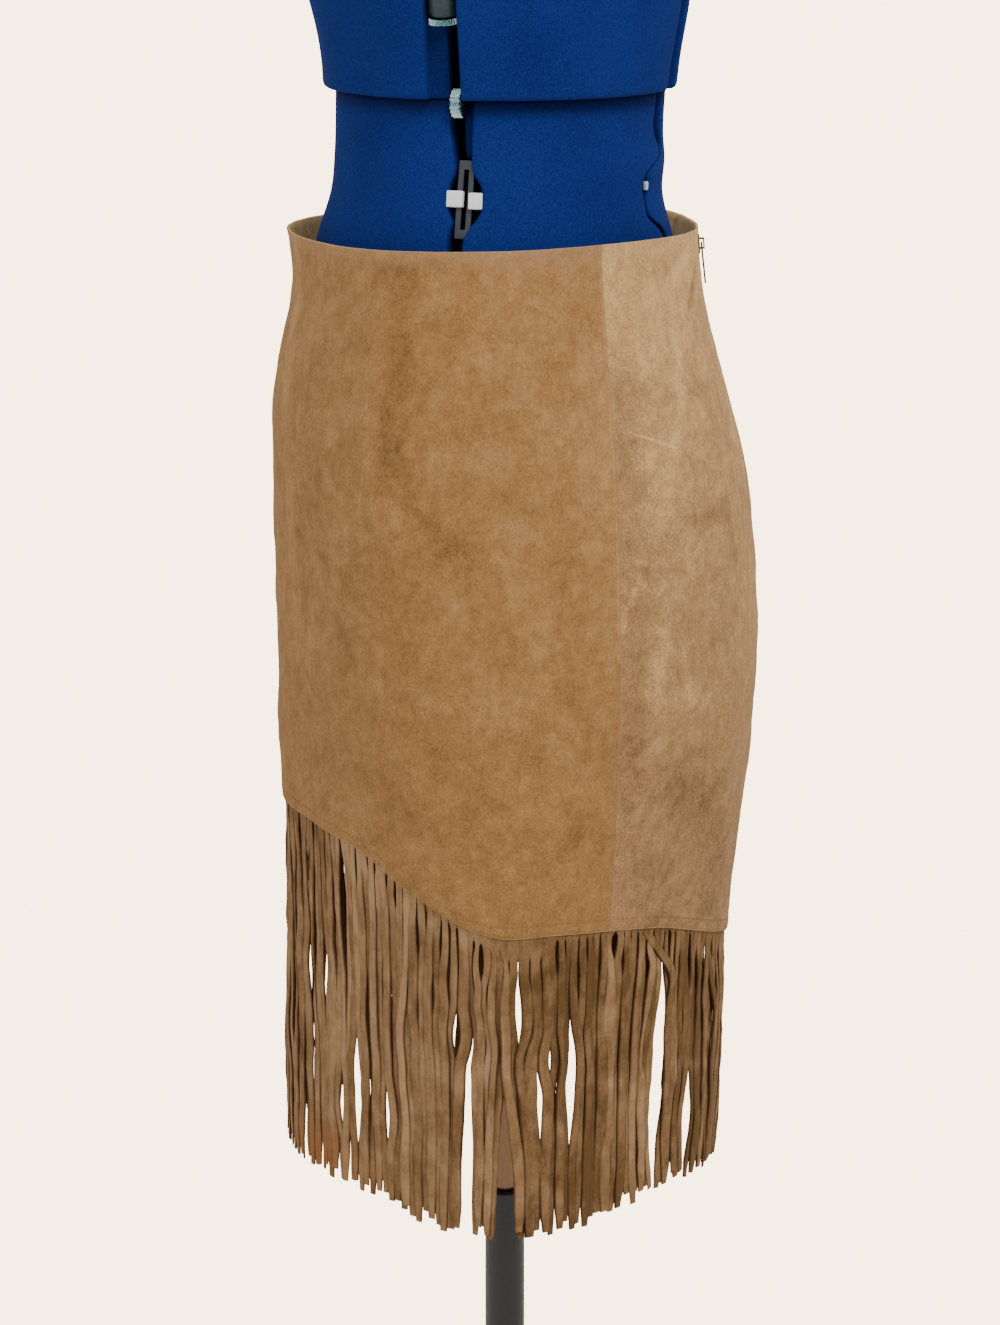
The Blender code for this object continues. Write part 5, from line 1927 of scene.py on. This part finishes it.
def set_on_form(mesh, sections, phase, drop, out, tilt=0.0):
    """Moves a mesh made about the origin (X round, Y up, Z out) to its place on a shell."""
    place, aside, up, outward = local_axes(sections, phase, drop)
    turn = math.radians(tilt)
    across = aside * math.cos(turn) + up * math.sin(turn)
    upward = up * math.cos(turn) - aside * math.sin(turn)
    points = np.zeros(len(mesh.vertices) * 3)
    mesh.vertices.foreach_get("co", points)
    points = points.reshape(-1, 3) @ np.array([across, upward, outward]) + np.array(place + outward * out)
    mesh.vertices.foreach_set("co", points.astype(np.float32).ravel())
    mesh.update()
    return mesh


def knurled_wheel(name, radius, width, teeth, depth, axis):
    """A wheel whose rim is cut into teeth, its axis along X or Y."""
    body = bmesh.new()
    rings = []
    for at, inset in ((-0.5, 0.85), (-0.42, 1.0), (0.42, 1.0), (0.5, 0.85)):
        ring = []
        for step in range(2 * teeth):
            turn = math.pi * step / teeth
            rim = radius * inset - (depth if step % 2 else 0.0)
            place = at * width, rim * math.cos(turn), rim * math.sin(turn)
            ring.append(body.verts.new(place if axis == "X" else (place[1], place[0], place[2])))
        rings.append(ring)
    for ring, following in zip(rings, rings[1:]):
        for step in range(2 * teeth):
            ahead = (step + 1) % (2 * teeth)
            body.faces.new((ring[step], ring[ahead], following[ahead], following[step]))
    body.faces.new(rings[0][::-1])
    body.faces.new(rings[-1])
    bmesh.ops.recalc_face_normals(body, faces=body.faces[:])
    return mesh_of(name, body)


def slotted_slide(name, width, length, thickness, slot_width, slot_length):
    """A flat slide with a long slot: a rounded frame between the slide's outline and the slot's."""
    body = bmesh.new()
    loops = []
    for half_width, half_length in ((width / 2, length / 2), (slot_width / 2, slot_length / 2)):
        for z in (-thickness / 2, thickness / 2):
            corners = ((-1, -1), (1, -1), (1, 1), (-1, 1))
            loops.append([body.verts.new((x * half_width, y * half_length, z)) for x, y in corners])
    low_out, high_out, low_in, high_in = loops
    for n in range(4):
        ahead = (n + 1) % 4
        body.faces.new((high_out[n], high_out[ahead], high_in[ahead], high_in[n]))
        body.faces.new((low_out[ahead], low_out[n], low_in[n], low_in[ahead]))
        body.faces.new((low_out[n], low_out[ahead], high_out[ahead], high_out[n]))
        body.faces.new((low_in[ahead], low_in[n], high_in[n], high_in[ahead]))
    bmesh.ops.recalc_face_normals(body, faces=body.faces[:])
    bmesh.ops.bevel(body, geom=body.edges[:], offset=0.0003, segments=2, affect="EDGES", profile=0.6)
    return mesh_of(name, body)


SLIDE_GREY = plain_material("slide_grey", (0.038, 0.044, 0.058), 0.45, 0.12, 600.0, specular=0.4)
BLOCK_WHITE = plain_material("block_white", (0.8, 0.82, 0.86), 0.4, 0.05, 500.0, specular=0.5)
WHEEL_METAL = plain_material("wheel_metal", (0.35, 0.55, 0.62), 0.25, 0.75, 1400.0, metallic=1.0, bump=0.0006)
WHEEL_GREEN = plain_material("wheel_grey_green", (0.024, 0.046, 0.056), 0.42, 0.3, 300.0, metallic=0.3)
BEAD_MINT = plain_material("bead_mint", (0.45, 0.62, 0.58), 0.35, 0.2, 900.0, specular=0.5)

# What makes an adjuster and its sizes, where on a shell it sits, how far out, how far tilted, and its finish.
Adjuster = namedtuple("Adjuster", "name maker sizes sections phase drop out tilt finish")
SLIDE_SIZES = (0.0084, 0.0405, 0.0016, 0.0027, 0.031)
FRONT_BLOCK, BACK_BLOCK = ((0.0088, 0.0086, 0.0036), 0.0007), ((0.0074, 0.0086, 0.0036), 0.0007)
BEAD = (0.0024, 0.0048, 0.0024), 0.0009
WAIST_WHEEL, CHEST_WHEEL = (0.0076, 0.006, 18, 0.0012, "X"), (0.0082, 0.0036, 34, 0.0012, "Y")
DRUM = (0.0079, 0.018, 48, 0.0001, "Y")
LOW, HIGH = FORM_LOWER, FORM_UPPER
ADJUSTERS = table_of(
    Adjuster,
    ("waist_slide", slotted_slide, SLIDE_SIZES, LOW, 79.9, -0.0245, -0.0032, -1.9, SLIDE_GREY),
    ("waist_block_front", rounded_block, FRONT_BLOCK, LOW, 77.6, -0.0247, -0.002, 0.0, BLOCK_WHITE),
    ("waist_block_back", rounded_block, BACK_BLOCK, LOW, 82.8, -0.0238, -0.002, 0.0, BLOCK_WHITE),
    ("waist_wheel", knurled_wheel, WAIST_WHEEL, HIGH, 78.0, -0.0722, -0.0088, 0.0, WHEEL_METAL),
    ("chest_wheel", knurled_wheel, CHEST_WHEEL, HIGH, 75.1, -0.1146, -0.0095, 0.0, WHEEL_METAL),
    ("chest_drum", knurled_wheel, DRUM, HIGH, 75.1, -0.1262, -0.0095, 0.0, WHEEL_GREEN),
    ("back_bead", rounded_block, BEAD, LOW, 141.6, -0.0262, -0.001, 6.0, BEAD_MINT),
)
for adjuster in ADJUSTERS:
    mesh = adjuster.maker(adjuster.name, *adjuster.sizes)
    mesh.shade_smooth()
    mesh.set_sharp_from_angle(angle=math.radians(40))
    set_on_form(mesh, adjuster.sections, adjuster.phase, adjuster.drop, adjuster.out, adjuster.tilt)
    add_piece(adjuster.name, mesh, adjuster.finish)

# ---------------------------------------------------------------------------------------------------------
# The neck cap, the socket under the form, the bright rod that stands in a black tube, and the round weighted
# base: turned plastic, plated steel and black-painted metal.


def turned_piece(name, profile, material, steps=128):
    """A closed body turned about the pole's axis from (radius, height) points down its outside."""
    body = bmesh.new()
    rings = []
    for radius, height in profile:
        if radius == 0.0:
            rings.append([body.verts.new((0.0, 0.0, height))])
            continue
        turns = [2 * math.pi * step / steps for step in range(steps)]
        rings.append([body.verts.new((radius * math.cos(a), radius * math.sin(a), height)) for a in turns])
    for ring, below in zip(rings, rings[1:]):
        for step in range(steps):
            ahead = (step + 1) % steps
            if len(ring) == 1:
                body.faces.new((ring[0], below[step], below[ahead]))
            elif len(below) == 1:
                body.faces.new((ring[step], below[0], ring[ahead]))
            else:
                body.faces.new((ring[step], below[step], below[ahead], ring[ahead]))
    mesh = mesh_of(name, body)
    mesh.shade_smooth()
    mesh.set_sharp_from_angle(angle=math.radians(35))
    return add_piece(name + "_turned", mesh, material, replaces=[name])


def softened(profile, radius, steps=4):
    """A profile with its inner corners rounded by short arcs."""
    points = [profile[0]]
    for before, corner, after in zip(profile, profile[1:], profile[2:]):
        to_before = Vector(before) - Vector(corner)
        to_after = Vector(after) - Vector(corner)
        cut = min(radius, to_before.length * 0.45, to_after.length * 0.45)
        start = Vector(corner) + to_before.normalized() * cut
        end = Vector(corner) + to_after.normalized() * cut
        for step in range(steps + 1):
            t = step / steps
            point = start * (1 - t) ** 2 + Vector(corner) * 2 * t * (1 - t) + end * t**2
            points.append((point.x, point.y))
    return [*points, profile[-1]]


CLEAR = 0.0003  # between one part of the stand and the next
CAP_SKIRT = 0.01  # how high the cap's straight side is
SOCKET_FLANGE, SOCKET_FOOT = 0.005, 0.008  # how thick the socket's flange is, and how high its foot
SOCKET_NECK_RADIUS, SOCKET_FOOT_RADIUS = 0.014, 0.016
BASE_RIM, BASE_RISE = 0.008, 0.01
BOSS_RADIUS = 0.02
BOSS_FOOT = 0.0185  # a little over the dome that the boss stands on
BLACK_PAINT = plain_material(
    "stand_paint", (0.013, 0.013, 0.015), 0.42, 0.25, 260.0, bump=0.0002, specular=0.5
)
# the rod's steel is tinted brown: a painted reflection of the suede round it
STEEL_WITH_PAINTED_REFLECTION = plain_material(
    "bright_steel", (0.19, 0.108, 0.064), 0.22, 0.06, 300.0, metallic=1.0, bump=0.00005
)
BLACK_PLASTIC = plain_material(
    "stand_plastic", (0.02, 0.02, 0.022), 0.38, 0.15, 700.0, bump=0.0001, specular=0.5
)


def from_node(name):
    """A node's lowest and highest heights and its radius."""
    low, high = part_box(name)
    return low.z, high.z, high.x


def dome(radius, low, rise, steps):
    """Points from the pole's axis down a quarter of an oval."""
    turns = np.linspace(0, math.pi / 2, steps)
    return [(radius * math.sin(turn), low + rise * math.cos(turn)) for turn in turns]


cap_low, cap_high, cap_radius = from_node("neck_cap")
cap_top = dome(cap_radius, cap_low + CAP_SKIRT, cap_high - cap_low - CAP_SKIRT, 24)
cap_profile = [*cap_top, (cap_radius, cap_low), (0.0, cap_low)]
turned_piece("neck_cap", softened(cap_profile, 0.0012), BLACK_PLASTIC)

socket_low, socket_high, flange = from_node("pole_socket")
rod_low, rod_high, rod_radius = from_node("pole_rod")
tube_low, tube_high, tube_radius = from_node("pole_tube")
rod_bore = rod_radius + CLEAR
socket_profile = [
    (0.0, socket_high),
    (flange, socket_high),
    (flange, socket_high - SOCKET_FLANGE),
    (SOCKET_NECK_RADIUS, socket_high - SOCKET_FLANGE),
    (SOCKET_NECK_RADIUS, socket_low + SOCKET_FOOT),
    (SOCKET_FOOT_RADIUS, socket_low + SOCKET_FOOT),
    (SOCKET_FOOT_RADIUS, socket_low),
    (rod_bore, socket_low),
    (rod_bore, rod_high + CLEAR),
    (0.0, rod_high + CLEAR),
]
turned_piece("pole_socket", softened(socket_profile, 0.001), BLACK_PAINT)
rod_profile = [(0.0, rod_high), (rod_radius, rod_high), (rod_radius, rod_low), (0.0, rod_low)]
turned_piece("pole_rod", softened(rod_profile, 0.0008), STEEL_WITH_PAINTED_REFLECTION)
tube_profile = [
    (0.0, rod_low - CLEAR),
    (rod_bore, rod_low - CLEAR),
    (rod_bore, tube_high),
    (tube_radius, tube_high),
    (tube_radius, tube_low),
    (0.0, tube_low),
]
turned_piece("pole_tube", softened(tube_profile, 0.0015), BLACK_PAINT)

_, boss_top, base_radius = from_node("base")
base_profile = [
    (0.0, tube_low - CLEAR),
    (tube_radius + CLEAR, tube_low - CLEAR),
    (tube_radius + CLEAR, boss_top),
    (BOSS_RADIUS, boss_top),
    (BOSS_RADIUS, BOSS_FOOT),
    *[point for point in dome(base_radius, BASE_RIM, BASE_RISE, 30) if point[0] > BOSS_RADIUS + 0.001],
    (base_radius, 0.0),
    (0.0, 0.0),
]
turned_piece("base", softened(base_profile, 0.0025), BLACK_PAINT)
